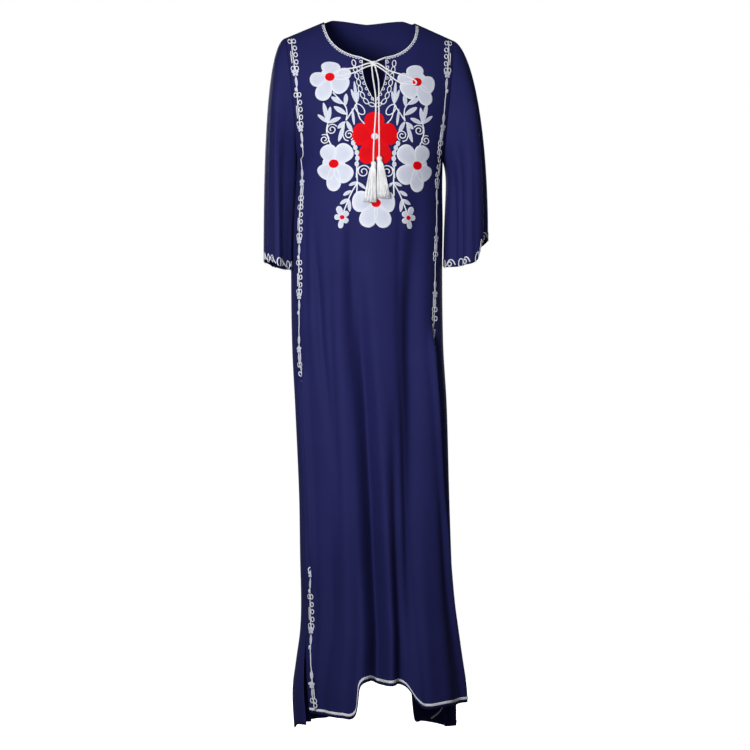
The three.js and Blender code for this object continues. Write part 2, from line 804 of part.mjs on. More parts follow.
function tasselGeometry(tassel) {
  const centreAt = (share) => {
    const x = lerp(tassel.topX, tassel.hemX, share);
    const z = lerp(tassel.topZ, tassel.hemZ, share);
    return new THREE.Vector3(x, frontFace(x, z) - TASSEL.lift, z);
  };
  const { headRadius, headHeight } = TASSEL;
  const profile = [
    [0, 0], [1.9, -0.4], [headRadius - 0.6, -2.6], [headRadius, -4.6], [headRadius - 0.5, -6.4],
    [headRadius - 1, -7.6], [headRadius + 0.5, -9.4], [headRadius + 0.9, -headHeight], [0, -headHeight],
  ].reverse();
  const head = new THREE.LatheGeometry(profile.map(([radius, z]) => new THREE.Vector2(radius, z)), 12);
  head.rotateX(Math.PI / 2);
  head.scale(1, 0.8, 1);
  const top = centreAt(0);
  head.translate(top.x, top.y, top.z);
  let solid = solidOf(head);
  if (solid.volume() < 0) throw new Error("the tassel's head is inside out");
  const rootShare = (headHeight - 2.2) / (tassel.topZ - tassel.hemZ);
  for (const row of STRANDS) {
    for (let k = 0; k < row.count; k += 1) {
      const across = row.count > 1 ? (2 * k) / (row.count - 1) - 1 : 0;
      const places = [0, 0.3, 0.65, 1].map((down) => {
        const share = rootShare + (1 - rootShare) * down;
        const spread = down ** 0.85;
        const half = lerp(TASSEL.rootHalf, TASSEL.hemHalf, spread);
        const depth = lerp(TASSEL.rootDepth, TASSEL.hemDepth, spread);
        const uneven = down === 1 ? 2.2 * Math.sin(5.1 * k + 2.3 * row.forward) : 0;
        return centreAt(share).add(new THREE.Vector3(across * half, row.forward * depth, uneven));
      });
      solid = solid.add(solidOf(strandGeometry(places)));
    }
  }
  return geometryOf(solid);
}

for (const [name, tassel] of Object.entries(TASSELS)) addPiece(name, tasselGeometry(tassel), TIE_WHITE);

export default dress;
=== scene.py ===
import math

import bpy
import numpy as np
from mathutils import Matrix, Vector


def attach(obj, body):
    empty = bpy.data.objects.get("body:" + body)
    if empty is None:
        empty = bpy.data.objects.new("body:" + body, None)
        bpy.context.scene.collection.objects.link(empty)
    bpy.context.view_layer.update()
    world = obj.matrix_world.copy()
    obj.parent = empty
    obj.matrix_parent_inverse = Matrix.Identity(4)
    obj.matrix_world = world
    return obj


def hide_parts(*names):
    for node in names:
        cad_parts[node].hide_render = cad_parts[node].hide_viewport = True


MM = 0.001

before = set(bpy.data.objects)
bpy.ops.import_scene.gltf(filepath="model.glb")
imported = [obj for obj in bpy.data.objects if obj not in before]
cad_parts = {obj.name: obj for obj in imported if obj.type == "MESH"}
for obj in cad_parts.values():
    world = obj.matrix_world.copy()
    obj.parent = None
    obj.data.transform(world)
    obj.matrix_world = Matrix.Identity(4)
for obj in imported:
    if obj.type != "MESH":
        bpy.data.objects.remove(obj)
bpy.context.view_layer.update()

# Camera: level, a little to the left of the dress's middle, with 2 mm of dress to each pixel
CAMERA_TARGET = Vector((0.012, 0, -0.704))
CAMERA_BACK = Vector((-0.0958, -0.9954, 0))
CAMERA_DISTANCE = 5.0
CAMERA_LENS = 120
CAMERA_SENSOR = 36

# Cloth
CLOTH = 1.6
SEAM_GAP = 0.3
SLEEVE_CLEARANCE = 2.5

# Neck and shoulders
NECK_HALF = 91
NECK_DROP = 79
NECK_POWER = 2.3
SLIT_HALF = 23
YOKE_MIDDLE = 2
SHOULDER_SLOPE = 0.43
SHOULDER_HALF = 168
FRONT_CREST = 8
NAPE_CREST = 34
NAPE_POWER = 0.6
CHEST_Z = -200
SHOULDER_POWER = 2.2

# Armholes
SHOULDER_Z = -SHOULDER_SLOPE * (SHOULDER_HALF - NECK_HALF)
UNDERARM_Z = -275
ARMHOLE_MIDDLE = (SHOULDER_Z + UNDERARM_Z) / 2
ARMHOLE_HALF = (SHOULDER_Z - UNDERARM_Z) / 2
ARMHOLE_FRONT = 50
ARMHOLE_BACK = 54

# Hems
SIDE_SLIT_Z = -1195
SIDE_SLIT_RUN = 160
SIDE_SLIT_SPREAD = 18
BRAID_WIDTH = 5
BRAID_ABOVE_HEM = 6
BACK_BRAID_END = 34 / 46

# The body's outline: height, left edge, right edge, reach of the front, reach of the back
SECTIONS = [
    (10, -168, 168, 92, 94),
    (-33, -168, 168, 92, 94),
    (-80, -164, 164, 97, 98),
    (-130, -159, 159, 102, 104),
    (-190, -153, 153, 108, 106),
    (-240, -149.5, 149.5, 110, 103),
    (-275, -148, 148, 110, 101),
    (-330, -150, 147, 107, 97),
    (-400, -154, 148, 104, 94),
    (-494, -156, 147, 104, 98),
    (-644, -154, 149, 107, 108),
    (-764, -148, 156, 109, 111),
    (-944, -140, 161, 112, 114),
    (-1064, -138, 165, 115, 117),
    (-1154, -136, 169, 118, 120),
    (-1214, -138, 175, 122, 124),
    (-1274, -146, 181, 127, 128),
    (-1334, -153, 187, 132, 132),
    (-1420, -149, 188, 136, 136),
]

# Side seams: height, then the left and the right seam's angle round the body
SEAMS = [
    (-275, 0, 180),
    (-340, 10, 168),
    (-494, 16, 160),
    (-650, 14, 157),
    (-764, 13, 158),
    (-900, 14, 160),
    (-1068, 16, 167),
    (-1234, 20, 174),
    (-1334, 28, 178),
    (-1420, 30, 178),
]

# Hems: angle round the body, height
FRONT_HEM = [
    (26, -1370), (62, -1373), (70.5, -1368), (75.5, -1316), (83, -1303), (89, -1311), (105, -1311),
    (110, -1319), (115, -1347), (120, -1359), (139, -1356), (149, -1357), (180, -1352),
]
BACK_HEM = [
    (176, -1406), (215, -1417), (230, -1409), (236, -1404), (242, -1330), (262, -1318), (284, -1330),
    (298, -1390), (330, -1402), (350, -1400), (362, -1406), (374, -1396), (392, -1392),
]
SLIT_SPREADS = {"front": (-8, 3), "back": (3, -12)}
BACK_NECK = [(0, 3), (68, 8), (91, 0)]
# The neck slit's edges below the neckline: height, left, right. It is held open by the tie.
SLIT = [(-113, -21, 21.5), (-137, -15, 19), (-154, -7, 14.5), (-163, -1, 9), (-167, 3, 5)]

# Folds: where each starts, its angle and depth halfway and at its end, and its spread in degrees.
# Start height and angle, middle height, angle and depth, end height, angle and depth, spread.
FOLDS = [
    (-330, 79, -820, 81, 26, -1420, 86, 38, 6.5),
    (-300, 73, -520, 74, 8, -820, 75, 0, 4),
    (-350, 41, -600, 47, 10, -940, 57, 0, 4.5),
    (-260, 128, -640, 122, 18, -1420, 106, 18, 9),
    (-700, 103, -1000, 102.5, 12, -1420, 103, 22, 4),
    (-860, 52, -1150, 49, 7, -1420, 43, 9, 6),
    (-480, 149, -760, 148.5, 8, -1020, 149, 0, 4),
    (-240, 64, -700, 65, -6, -1420, 63, -8, 6),
    (-800, 94, -1150, 95.5, -7, -1420, 95, -8, 4),
    (-500, 137, -1000, 138, -6, -1420, 140, -7, 7),
    (-330, 207, -900, 205, 11, -1420, 202, 16, 6.5),
    (-260, 229, -820, 232, 17, -1420, 234, 26, 7.5),
    (-420, 252, -980, 257, 9, -1420, 260, 15, 6),
    (-240, 280, -860, 284, 22, -1420, 282, 30, 8),
    (-380, 306, -900, 309, 11, -1420, 308, 18, 6),
    (-280, 331, -940, 335, 14, -1420, 333, 21, 7),
    (-500, 218, -1000, 218, -4, -1420, 218, -6, 6),
    (-500, 296, -1000, 297, -5, -1420, 296, -7, 6),
]

# Smaller creases that the solids leave out, in the same columns
CREASES = [
    (-420, 83, -860, 84, 7, -1420, 88, 9, 4.5),
    (-500, 74, -900, 75, -5, -1420, 77, -6, 5),
    (-420, 57, -700, 58, 2.4, -1120, 58, 0, 2.6),
    (-520, 86, -900, 88.5, 2.6, -1300, 90, 2, 2.2),
    (-560, 110, -900, 111, 2.8, -1250, 113, 0, 2.4),
    (-900, 34, -1200, 33, 3, -1420, 35, 4, 3.2),
    (-900, 118, -1150, 119, 2.6, -1420, 121, 3.4, 2.8),
    (-980, 72, -1200, 72, 2.6, -1420, 71, 3.4, 2.4),
    (-300, 30, -480, 33, 3, -760, 36, 0, 3.4),
    (-300, 112, -470, 111, 2.4, -700, 110, 0, 3),
    (-330, 192, -620, 194, 4, -1420, 190, 5, 4),
    (-300, 243, -560, 244, 3, -1250, 246, 3.6, 3),
    (-300, 268, -560, 268, 3.4, -1420, 270, 5, 3.4),
    (-420, 320, -760, 321, 3.2, -1420, 320, 5, 3.4),
    (-380, 346, -760, 347, 4, -1420, 346, 6, 4),
]

# The side strips: height, degrees in from the left and from the right seam
STRIP_INSETS = [
    (-36, 8, 8), (-200, 9, 9), (-240, 13, 12.5), (-262, 16.5, 16), (-275, 19.5, 20), (-300, 18.5, 19),
    (-340, 13.6, 15), (-390, 10, 12), (-480, 8, 9.7), (-590, 8, 8), (-1420, 8, 8),
]
# Which column of these tables a side is in, and which way is in from its seam
LEFT = (1, 1)
RIGHT = (2, -1)
# The strips run out of sight in tucks: side, top, bottom, degrees beyond the strip, depth, spread
TUCKS = [
    (LEFT, -670, -1130, 6.3, -11, 3.8),
    (LEFT, -670, -1130, -0.5, 13, 4.2),
    (RIGHT, -590, -1600, 6.2, -12.5, 3.8),
    (RIGHT, -590, -1600, -0.5, 13, 4.2),
]
TUCK_RUN = 80


# Curves and surfaces of the garment
def smooth(rows, column, at):
    """A column of a table at places along its first one, on a smooth curve through the rows."""
    keys = np.array([row[0] for row in rows], float)
    values = np.array([row[column] for row in rows], float)
    if keys[-1] < keys[0]:
        keys = keys[::-1]
        values = values[::-1]
    at = np.asarray(at, float)
    slopes = np.empty_like(values)
    slopes[1:-1] = (values[2:] - values[:-2]) / (keys[2:] - keys[:-2])
    slopes[0] = (values[1] - values[0]) / (keys[1] - keys[0])
    slopes[-1] = (values[-1] - values[-2]) / (keys[-1] - keys[-2])
    i = np.clip(np.searchsorted(keys, at) - 1, 0, len(keys) - 2)
    span = keys[i + 1] - keys[i]
    t = np.clip((at - keys[i]) / span, 0, 1)
    start = 2 * t**3 - 3 * t**2 + 1
    leave = t**3 - 2 * t**2 + t
    arrive = t**3 - t**2
    curve = values[i] * start + values[i + 1] * (1 - start)
    return curve + span * (slopes[i] * leave + slopes[i + 1] * arrive)


def ease(start, end, value):
    t = np.clip((value - start) / (end - start), 0, 1)
    return t * t * (3 - 2 * t)


def mix(a, b, share):
    return a + (b - a) * share


def apart(angle, other):
    """The smallest turn between two angles."""
    return np.abs((angle - other + 540) % 360 - 180)


def strip_angle(side, z):
    """The angle of a side strip's middle line."""
    column, inwards = side
    return smooth(SEAMS, column, np.minimum(z, UNDERARM_Z)) + inwards * smooth(STRIP_INSETS, column, z)


def fold_depth(z, angle):
    """How deep all the folds and creases are at each place."""
    depth = np.zeros(np.broadcast(z, angle).shape)
    for fold in FOLDS + CREASES:
        start_z, start_at, mid_z, mid_at, mid_depth, end_z, end_at, end_depth, spread = fold
        upper = z > mid_z
        grown = ease(-start_z, -mid_z, -z)
        run = np.clip((mid_z - z) / (mid_z - end_z), 0, 1)
        at = np.where(upper, mix(start_at, mid_at, grown), mix(mid_at, end_at, run))
        deep = np.where(upper, mid_depth * grown, mix(mid_depth, end_depth, run))
        depth += deep * np.exp(-((apart(angle, at) / spread) ** 2))
    for side, top, bottom, beyond, deep, spread in TUCKS:
        grown = ease(0, TUCK_RUN, top - z) * ease(0, TUCK_RUN, z - bottom)
        at = strip_angle(side, z) + side[1] * beyond
        depth += deep * grown * np.exp(-((apart(angle, at) / spread) ** 2))
    return depth


def crest_height(x, rise, power):
    """The shoulder line, and the virtual crest over the open neck that the cloth rounds towards."""
    inside = np.clip(1 - (x / NECK_HALF) ** 2, 0, 1)
    beyond = np.abs(x) - NECK_HALF
    return np.where(beyond >= 0, -SHOULDER_SLOPE * beyond, rise * inside**power)


def top_height(x, is_front):
    if is_front:
        return crest_height(x, FRONT_CREST, 1)
    nape = smooth(BACK_NECK, 1, np.abs(x))
    return np.where(np.abs(x) >= NECK_HALF, crest_height(x, 0, 1), nape)


def body_width(z):
    left = smooth(SECTIONS, 1, z)
    right = smooth(SECTIONS, 2, z)
    return (left + right) / 2, (right - left) / 2


def armhole_depth(z, is_front):
    height = (z - ARMHOLE_MIDDLE) / ARMHOLE_HALF
    reach = np.where(is_front, ARMHOLE_FRONT, ARMHOLE_BACK)
    return reach * np.sqrt(np.clip(1 - height**2, 0, 1))


def rounded_depth(x, z, is_front):
    """How far the chest or the back reaches, less what the shoulders round off."""
    depth = np.where(is_front, smooth(SECTIONS, 3, z), smooth(SECTIONS, 4, z))
    front_crest = crest_height(x, FRONT_CREST, 1)
    nape_crest = crest_height(x, NAPE_CREST, NAPE_POWER)
    crest = np.where(is_front, front_crest, nape_crest)
    rise = np.clip((z - CHEST_Z) / (crest - CHEST_Z), 0, 1)
    return depth * np.sqrt(1 - rise**SHOULDER_POWER)


def oval(z, angle, is_front):
    """The oval that a panel follows at a height. The armholes cut it off above the underarm."""
    middle, half = body_width(z)
    low = np.minimum(z, SHOULDER_Z - 1)
    cut = np.arcsin(armhole_depth(low, is_front) / rounded_depth(body_width(low)[1], low, is_front))
    begin = np.where(is_front, 0, math.pi)
    within = (np.radians(angle) - begin) * (1 - 2 * cut / math.pi)
    return middle, half / np.cos(cut), begin + cut + within


def body_point(z, angle, is_front, push=0):
    """A place on the outer face of the body, from its height and its angle round the body."""
    middle, wide, around = oval(z, angle, is_front)
    x = middle - wide * np.cos(around)
    facing = np.where(is_front, -1, 1)
    round_off = np.abs(np.sin(around))
    seam = SEAM_GAP / 2 * ease(0, 60, z - UNDERARM_Z)
    depth = rounded_depth(x, z, is_front)
    normal_x = -np.cos(around) * depth
    normal_y = facing * round_off * wide
    out = (push - fold_depth(z, np.degrees(around))) / np.hypot(normal_x, normal_y)
    y = facing * (depth * round_off + seam) + normal_y * out
    return np.stack(np.broadcast_arrays(x + normal_x * out, y, z), axis=-1)


def slit_push(side, z, angle):
    """How far a panel moves outwards beside a side slit."""
    opened = ease(0, SIDE_SLIT_RUN, SIDE_SLIT_Z - z)
    low = np.minimum(z, UNDERARM_Z)
    left, right = SLIT_SPREADS[side]
    near_left = np.exp(-((apart(angle, smooth(SEAMS, 1, low)) / SIDE_SLIT_SPREAD) ** 2))
    near_right = np.exp(-((apart(angle, smooth(SEAMS, 2, low)) / SIDE_SLIT_SPREAD) ** 2))
    return opened * (left * near_left + right * near_right)


def panel_point(side, z, angle):
    is_front = np.where(z > UNDERARM_Z, side == "front", np.sin(np.radians(angle)) >= 0)
    return body_point(z, angle, is_front, slit_push(side, z, angle))


def column_angle(side, z, share):
    """The angle of a column at a height, with the seam gap left open."""
    low = np.minimum(z, UNDERARM_Z)
    gap = np.degrees(SEAM_GAP / 2 / smooth(SECTIONS, 3, z))
    left = smooth(SEAMS, 1, low)
    right = smooth(SEAMS, 2, low)
    if side == "front":
        return np.where(z > UNDERARM_Z, 180 * share, mix(left + gap, right - gap, share))
    return np.where(z > UNDERARM_Z, 180 + 180 * share, mix(right + gap, left + 360 - gap, share))


def hem_height(side, angle):
    return smooth(FRONT_HEM if side == "front" else BACK_HEM, 1, angle)


UPPER_ROWS = 60
MIDDLE_ROWS = 84
LOWER_ROWS = 24


def panel_grid(side, columns):
    """A panel's outer places, in rows from its top edge down to its hem."""
    share = np.linspace(0, 1, columns + 1)
    angle = column_angle(side, 0, share)
    top = np.zeros(columns + 1)
    for _ in range(8):
        middle, wide, around = oval(top, angle, side == "front")
        top = top_height(middle - wide * np.cos(around), side == "front")
    down = (1 - np.cos(np.pi * np.arange(UPPER_ROWS) / UPPER_ROWS)) / 2
    upper = mix(top, UNDERARM_Z, down[:, None])
    middle_down = np.arange(MIDDLE_ROWS)[:, None] / MIDDLE_ROWS
    middle_rows = mix(np.full(columns + 1, UNDERARM_Z), SIDE_SLIT_Z, middle_down)
    hem = hem_height(side, column_angle(side, SIDE_SLIT_Z - SIDE_SLIT_RUN, share))
    lower_down = np.arange(LOWER_ROWS + 1)[:, None] / LOWER_ROWS
    lower = mix(np.full(columns + 1, SIDE_SLIT_Z), hem, lower_down)
    z = np.concatenate([upper, middle_rows, lower])
    return panel_point(side, z, column_angle(side, z, share[None, :]))


# Sleeves: angle round the sleeve, then the way that the cloth leaves the armhole and how far.
# 0 is the top and outer side, 90 the front, 180 the underarm and 270 the back.
SLEEVE_STARTS = [
    (-90, 0.72, -0.08, -0.6, 64),
    (0, 0.9, 0, -0.22, 46),
    (90, 0.72, 0.08, -0.6, 64),
    (180, 0.3, 0, -0.95, 40),
    (270, 0.72, -0.08, -0.6, 64),
    (360, 0.9, 0, -0.22, 46),
    (450, 0.72, 0.08, -0.6, 64),
]
# Each sleeve's outer is how far its cuff reaches from the middle of the body, its depth is half the cuff's
# depth, and its centre is the middle of that. Its pull draws the upper sleeve in, on its outer and on its
# inner side, and its lean moves the cloth near one angle towards the body. Its hem is angle and height, and
# each of its folds is angle, depth and spread.
SLEEVES = {
    "left": {
        "sign": -1,
        "outer": 211,
        "pull": (14, 9),
        "lean": 16,
        "depth": 76,
        "centre": -5,
        "hem": [(-90, -486), (0, -476), (90, -488), (180, -494), (270, -486), (360, -476), (450, -488)],
        "folds": [
            (52, 5, 16), (112, 13, 15), (232, 8, 18), (300, 5, 16), (84, 1.6, 6), (28, 2, 7), (138, 20, 20),
        ],
    },
    "right": {
        "sign": 1,
        "outer": 240,
        "pull": (10, -2),
        "lean": 0,
        "depth": 74,
        "centre": -5,
        "hem": [
            (-90, -468), (0, -434), (40, -439), (58, -446), (72, -476), (110, -486), (180, -488),
            (270, -468), (360, -434), (400, -439),
        ],
        "folds": [
            (33, 16, 12), (124, 12, 16), (238, 9, 18), (306, 6, 16), (78, 1.8, 7), (10, 2, 7),
            (118, 7, 7), (142, 11, 9),
        ],
    },
}
SLEEVE_CONTROL = 0.62
LEAN_ANGLE = 142
LEAN_SPREAD = 24


def side_edge(z, sign):
    middle, half = body_width(z)
    return half + sign * middle


def sleeve_point(sleeve, angle, share):
    """A place on a sleeve's outer face, from its angle round it and its share of the way to the cuff."""
    around = np.radians(angle)
    sign = sleeve["sign"]
    start_z = ARMHOLE_MIDDLE + ARMHOLE_HALF * np.cos(around)
    forward = np.sin(around) * np.where(np.sin(around) >= 0, ARMHOLE_FRONT, ARMHOLE_BACK)
    start = np.stack([side_edge(start_z, sign) + SEAM_GAP, -forward, start_z], axis=-1)
    leave = np.stack([smooth(SLEEVE_STARTS, 1, angle), -smooth(SLEEVE_STARTS, 2, angle),
                      smooth(SLEEVE_STARTS, 3, angle)], axis=-1)
    leave = leave / np.linalg.norm(leave, axis=-1, keepdims=True)
    hem_z = smooth(sleeve["hem"], 1, angle)
    inner_edge = side_edge(hem_z, sign) + SLEEVE_CLEARANCE + SEAM_GAP
    crush = sum(deep * np.exp(-((apart(angle, at) / spread) ** 2)) for at, deep, spread in sleeve["folds"])
    lean = sleeve["lean"] * np.exp(-((apart(angle, LEAN_ANGLE) / LEAN_SPREAD) ** 2))
    cuff_middle = (sleeve["outer"] + inner_edge) / 2
    cuff_half = (sleeve["outer"] - inner_edge) / 2
    cuff_x = cuff_middle + (cuff_half - crush) * np.cos(around) - lean
    cuff_y = sleeve["centre"] - (sleeve["depth"] - crush) * np.sin(around)
    cuff = np.stack([cuff_x, cuff_y, hem_z], axis=-1)
    leaving = start + leave * smooth(SLEEVE_STARTS, 4, angle)[..., None]
    outer_pull, inner_pull = sleeve["pull"]
    leaving[..., 0] -= mix(inner_pull, outer_pull, (1 + np.cos(around)) / 2) + lean
    arriving = cuff.copy()
    arriving[..., 2] += (start_z - hem_z) * SLEEVE_CONTROL
    t = np.asarray(share)[..., None]
    point = (start * (1 - t) ** 3 + 3 * leaving * t * (1 - t) ** 2
             + 3 * arriving * t**2 * (1 - t) + cuff * t**3)
    point[..., 0] *= sign
    return point


def unit(vectors):
    return vectors / np.linalg.norm(vectors, axis=-1, keepdims=True)


def run_lengths(line):
    """The length of a line of places up to each of them."""
    return np.concatenate([[0], np.cumsum(np.linalg.norm(np.diff(line, axis=0), axis=-1))])


# Where stitches lie: each function turns places on a flat pattern, and a height over it, into places on
# the cloth. A pattern's first number runs across and its second one up.
def over_cloth(point, along, up, height, outward=1):
    normal = unit(np.cross(along, up)) * outward
    return point + normal * np.asarray(height)[..., None]


def front_angle(x, z):
    """The angle at which the front's outer face has a place seen from the front."""
    low = np.full(np.shape(x), 20.0)
    high = np.full(np.shape(x), 160.0)
    for _ in range(26):
        angle = (low + high) / 2
        is_left = body_point(z, angle, True)[..., 0] < x
        low = np.where(is_left, angle, low)
        high = np.where(is_left, high, angle)
    return (low + high) / 2


def body_cloth(z, angle, height):
    point = body_point(z, angle, True)
    along = body_point(z, angle + 0.4, True) - body_point(z, angle - 0.4, True)
    up = body_point(z + 1, angle, True) - body_point(z - 1, angle, True)
    return over_cloth(point, along, up, height)


def on_yoke(x, z, height):
    return body_cloth(z, front_angle(x, z), height)


def round_scale(z, angle):
    """Millimetres along the cloth for each degree round the body."""
    step = body_point(z, angle + 0.5, True) - body_point(z, angle - 0.5, True)
    return np.maximum(np.linalg.norm(step, axis=-1), 1.2)


def on_strip(side):
    def place(across, z, height):
        middle = strip_angle(side, z)
        return body_cloth(z, middle + across / round_scale(z, middle), height)
    return place


def on_hem(side):
    """Across is the share of the panel's width, and up is measured from the hem."""
    def place(share, up, height):
        angle_low = column_angle(side, SIDE_SLIT_Z - SIDE_SLIT_RUN, share)
        z = hem_height(side, angle_low) + up
        point = panel_point(side, z, column_angle(side, z, share))
        ahead = panel_point(side, z, column_angle(side, z, share + 0.002))
        behind = panel_point(side, z, column_angle(side, z, share - 0.002))
        rise = panel_point(side, z + 1, column_angle(side, z + 1, share)) - point
        return over_cloth(point, ahead - behind, rise, height)
    return place


def cuff_lengths(sleeve):
    """The angles round a cuff, and the length of its edge up to each."""
    angles = np.linspace(0, 360, 721)
    edge = sleeve_point(sleeve, angles % 360, np.ones(len(angles)))
    return angles, run_lengths(edge)


def on_cuff(sleeve):
    """Across is the length along the cuff's edge, and up is measured from it."""
    angles, lengths = cuff_lengths(sleeve)

    def place(across, up, height):
        angle = np.interp(np.asarray(across) % lengths[-1], lengths, angles)
        around = np.radians(angle)
        drop = ARMHOLE_MIDDLE + ARMHOLE_HALF * np.cos(around) - smooth(sleeve["hem"], 1, angle % 360)
        share = 1 - up / (3 * SLEEVE_CONTROL * drop)
        point = sleeve_point(sleeve, angle % 360, share)
        ahead = sleeve_point(sleeve, (angle + 1) % 360, share)
        behind = sleeve_point(sleeve, (angle - 1) % 360, share)
        rise = sleeve_point(sleeve, angle % 360, share - 0.01) - point
        return over_cloth(point, ahead - behind, rise, height, -sleeve["sign"])
    return place


# Meshes
def add_piece(name, points, faces, uv, material, replaced=(), fade=None):
    """A mesh object from places in millimetres, with a UV in metres for each place."""
    mesh = bpy.data.meshes.new(name)
    mesh.from_pydata((np.asarray(points) * MM).tolist(), [], faces)
    corner = np.empty(len(mesh.loops), int)
    mesh.loops.foreach_get("vertex_index", corner)
    layer = mesh.uv_layers.new(name="UVMap")
    layer.data.foreach_set("uv", (np.asarray(uv, float)[corner] * MM).ravel())
    # The rim attribute masks the painted highlight on the rims of satin pads
    if fade is not None:
        mesh.attributes.new("rim", "FLOAT", "POINT").data.foreach_set("value", np.asarray(fade, float))
    mesh.materials.append(material)
    mesh.shade_smooth()
    piece = bpy.data.objects.new(name, mesh)
    bpy.context.scene.collection.objects.link(piece)
    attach(piece, "root")
    if replaced:
        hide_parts(*replaced)
    return piece


def tube_faces(rows, sides, first=0, is_ring=False, is_flipped=False):
    """The faces of a tube whose places come section by section, with caps unless its ends meet. A flipped
    face keeps its first corner, so that it is split along the same line."""
    def at(i, k):
        return first + i % rows * sides + k % sides

    spans = rows if is_ring else rows - 1
    faces = [
        (at(i, k), at(i, k + 1), at(i + 1, k + 1), at(i + 1, k)) for i in range(spans) for k in range(sides)
    ]
    if not is_ring:
        faces.append(tuple(at(0, k) for k in reversed(range(sides))))
        faces.append(tuple(at(rows - 1, k) for k in range(sides)))
    return [(face[0], *face[:0:-1]) for face in faces] if is_flipped else faces


def wall(outer, inner, is_ring, is_flipped=False):
    """A closed wall between an outer and an inner grid of places, as places, faces and UVs."""
    rows, columns = outer.shape[:2]
    spans = columns if is_ring else columns - 1

    def out(i, j):
        return i * columns + j % columns

    def within(i, j):
        return rows * columns + out(i, j)

    faces = []
    for j in range(spans):
        for i in range(rows - 1):
            faces.append((out(i, j), out(i + 1, j), out(i + 1, j + 1), out(i, j + 1)))
            faces.append((within(i, j), within(i, j + 1), within(i + 1, j + 1), within(i + 1, j)))
        faces.append((out(0, j), out(0, j + 1), within(0, j + 1), within(0, j)))
        last = rows - 1
        faces.append((out(last, j), within(last, j), within(last, j + 1), out(last, j + 1)))
    for i in range(rows - 1 if not is_ring else 0):
        last = columns - 1
        faces.append((out(i, 0), within(i, 0), within(i + 1, 0), out(i + 1, 0)))
        faces.append((out(i, last), out(i + 1, last), within(i + 1, last), within(i, last)))
    if is_flipped:
        faces = [face[::-1] for face in faces]
    steps = np.linalg.norm(np.diff(outer, axis=1, prepend=outer[:, :1]), axis=-1)
    across = np.cumsum(steps, axis=1)
    across = across - across[:, columns // 2 : columns // 2 + 1]
    uv = np.stack([across, outer[..., 2]], axis=-1).reshape(-1, 2)
    points = np.concatenate([outer.reshape(-1, 3), inner.reshape(-1, 3)])
    return points, faces, np.concatenate([uv, uv])


def grid_normals(grid, is_ring):
    """Outward normals of a grid whose columns run to the right and whose rows run down."""
    if is_ring:
        along = np.roll(grid, -1, axis=1) - np.roll(grid, 1, axis=1)
    else:
        along = np.gradient(grid, axis=1)
    down = np.gradient(grid, axis=0)
    return unit(np.cross(down, along))


# Materials
def linear(code):
    """An sRGB hex colour as the linear one that Blender's sockets take."""
    parts = [int(code[i : i + 2], 16) / 255 for i in (1, 3, 5)]
    return (*[c / 12.92 if c <= 0.04045 else ((c + 0.055) / 1.055) ** 2.4 for c in parts], 1)


def add_node(tree, kind, settings=(), inputs=()):
    """Adds a node, with its settings, and with a value or another node's output for each named input."""
    node = tree.nodes.new(kind)
    for name, value in dict(settings).items():
        setattr(node, name, value)
    for name, value in dict(inputs).items():
        if isinstance(value, bpy.types.NodeSocket):
            tree.links.new(value, node.inputs[name])
        else:
            node.inputs[name].default_value = value
    return node


def new_material(name, roughness, sheen):
    """A cloth-like material, and its tree, its surface shader and its object and UV coordinates."""
    material = bpy.data.materials.new(name)
    material.use_nodes = True
    tree = material.node_tree
    tree.nodes.clear()
    surface = add_node(tree, "ShaderNodeBsdfPrincipled", {}, {
        "Roughness": roughness, "Sheen Weight": sheen, "Sheen Roughness": 0.5, "Specular IOR Level": 0.1,
    })
    add_node(tree, "ShaderNodeOutputMaterial", {}, {"Surface": surface.outputs[0]})
    place = add_node(tree, "ShaderNodeTexCoord")
    return material, tree, surface, place.outputs["Object"], place.outputs["UV"]


def band_scale(spacing):
    """The scale of Blender's wave, which repeats 20 times in 2 pi units, for bands so many mm apart."""
    return 2 * math.pi / (20 * spacing * MM)


# Bands across and up the cloth, and how uneven they are
ACROSS = {"wave_type": "BANDS", "bands_direction": "X"}
UPWARDS = {"wave_type": "BANDS", "bands_direction": "Y"}
UNEVEN = {"Distortion": 0.6, "Detail": 1.0, "Detail Scale": 1.5}
# The sockets of Blender's colour mix: share, first colour, second colour, and the colour that leaves it
SHARE = 0
FIRST = 6
SECOND = 7
MIXED = 2
COLOURS = {"data_type": "RGBA"}
BUMP_STRENGTH = 0.6


# Plain woven viscose: deep navy with a faint silky sheen and slightly uneven dye. The real threads are
# 0.3 mm apart, and they are drawn 1.3 mm apart to show at all.
def woven_viscose():
    material, tree, surface, place, uv = new_material("navy woven viscose", 0.72, 0.05)
    surface.inputs["Sheen Tint"].default_value = linear("#8A8CC8")
    dye = add_node(tree, "ShaderNodeTexNoise", {}, {"Vector": place, "Scale": 9.0, "Detail": 3.0})
    colour = add_node(tree, "ShaderNodeMix", COLOURS, {
        SHARE: dye.outputs[0], FIRST: linear("#1E2052"), SECOND: linear("#262860"),
    })
    spacing = {"Vector": uv, "Scale": band_scale(1.3), **UNEVEN}
    warp = add_node(tree, "ShaderNodeTexWave", ACROSS, spacing)
    weft = add_node(tree, "ShaderNodeTexWave", UPWARDS, spacing)
    slub = add_node(tree, "ShaderNodeTexNoise", {}, {"Vector": place, "Scale": 380.0, "Detail": 2.0})
    threads = add_node(tree, "ShaderNodeMath", {"operation": "ADD"}, {
        0: warp.outputs["Fac"], 1: weft.outputs["Fac"],
    })
    weave = add_node(tree, "ShaderNodeMath", {"operation": "ADD"}, {
        0: threads.outputs[0], 1: slub.outputs[0],
    })
    bump = add_node(tree, "ShaderNodeBump", {}, {
        "Height": weave.outputs[0], "Distance": 0.08 * MM, "Strength": BUMP_STRENGTH,
    })
    tree.links.new(colour.outputs[MIXED], surface.inputs["Base Color"])
    tree.links.new(bump.outputs[0], surface.inputs["Normal"])
    return material
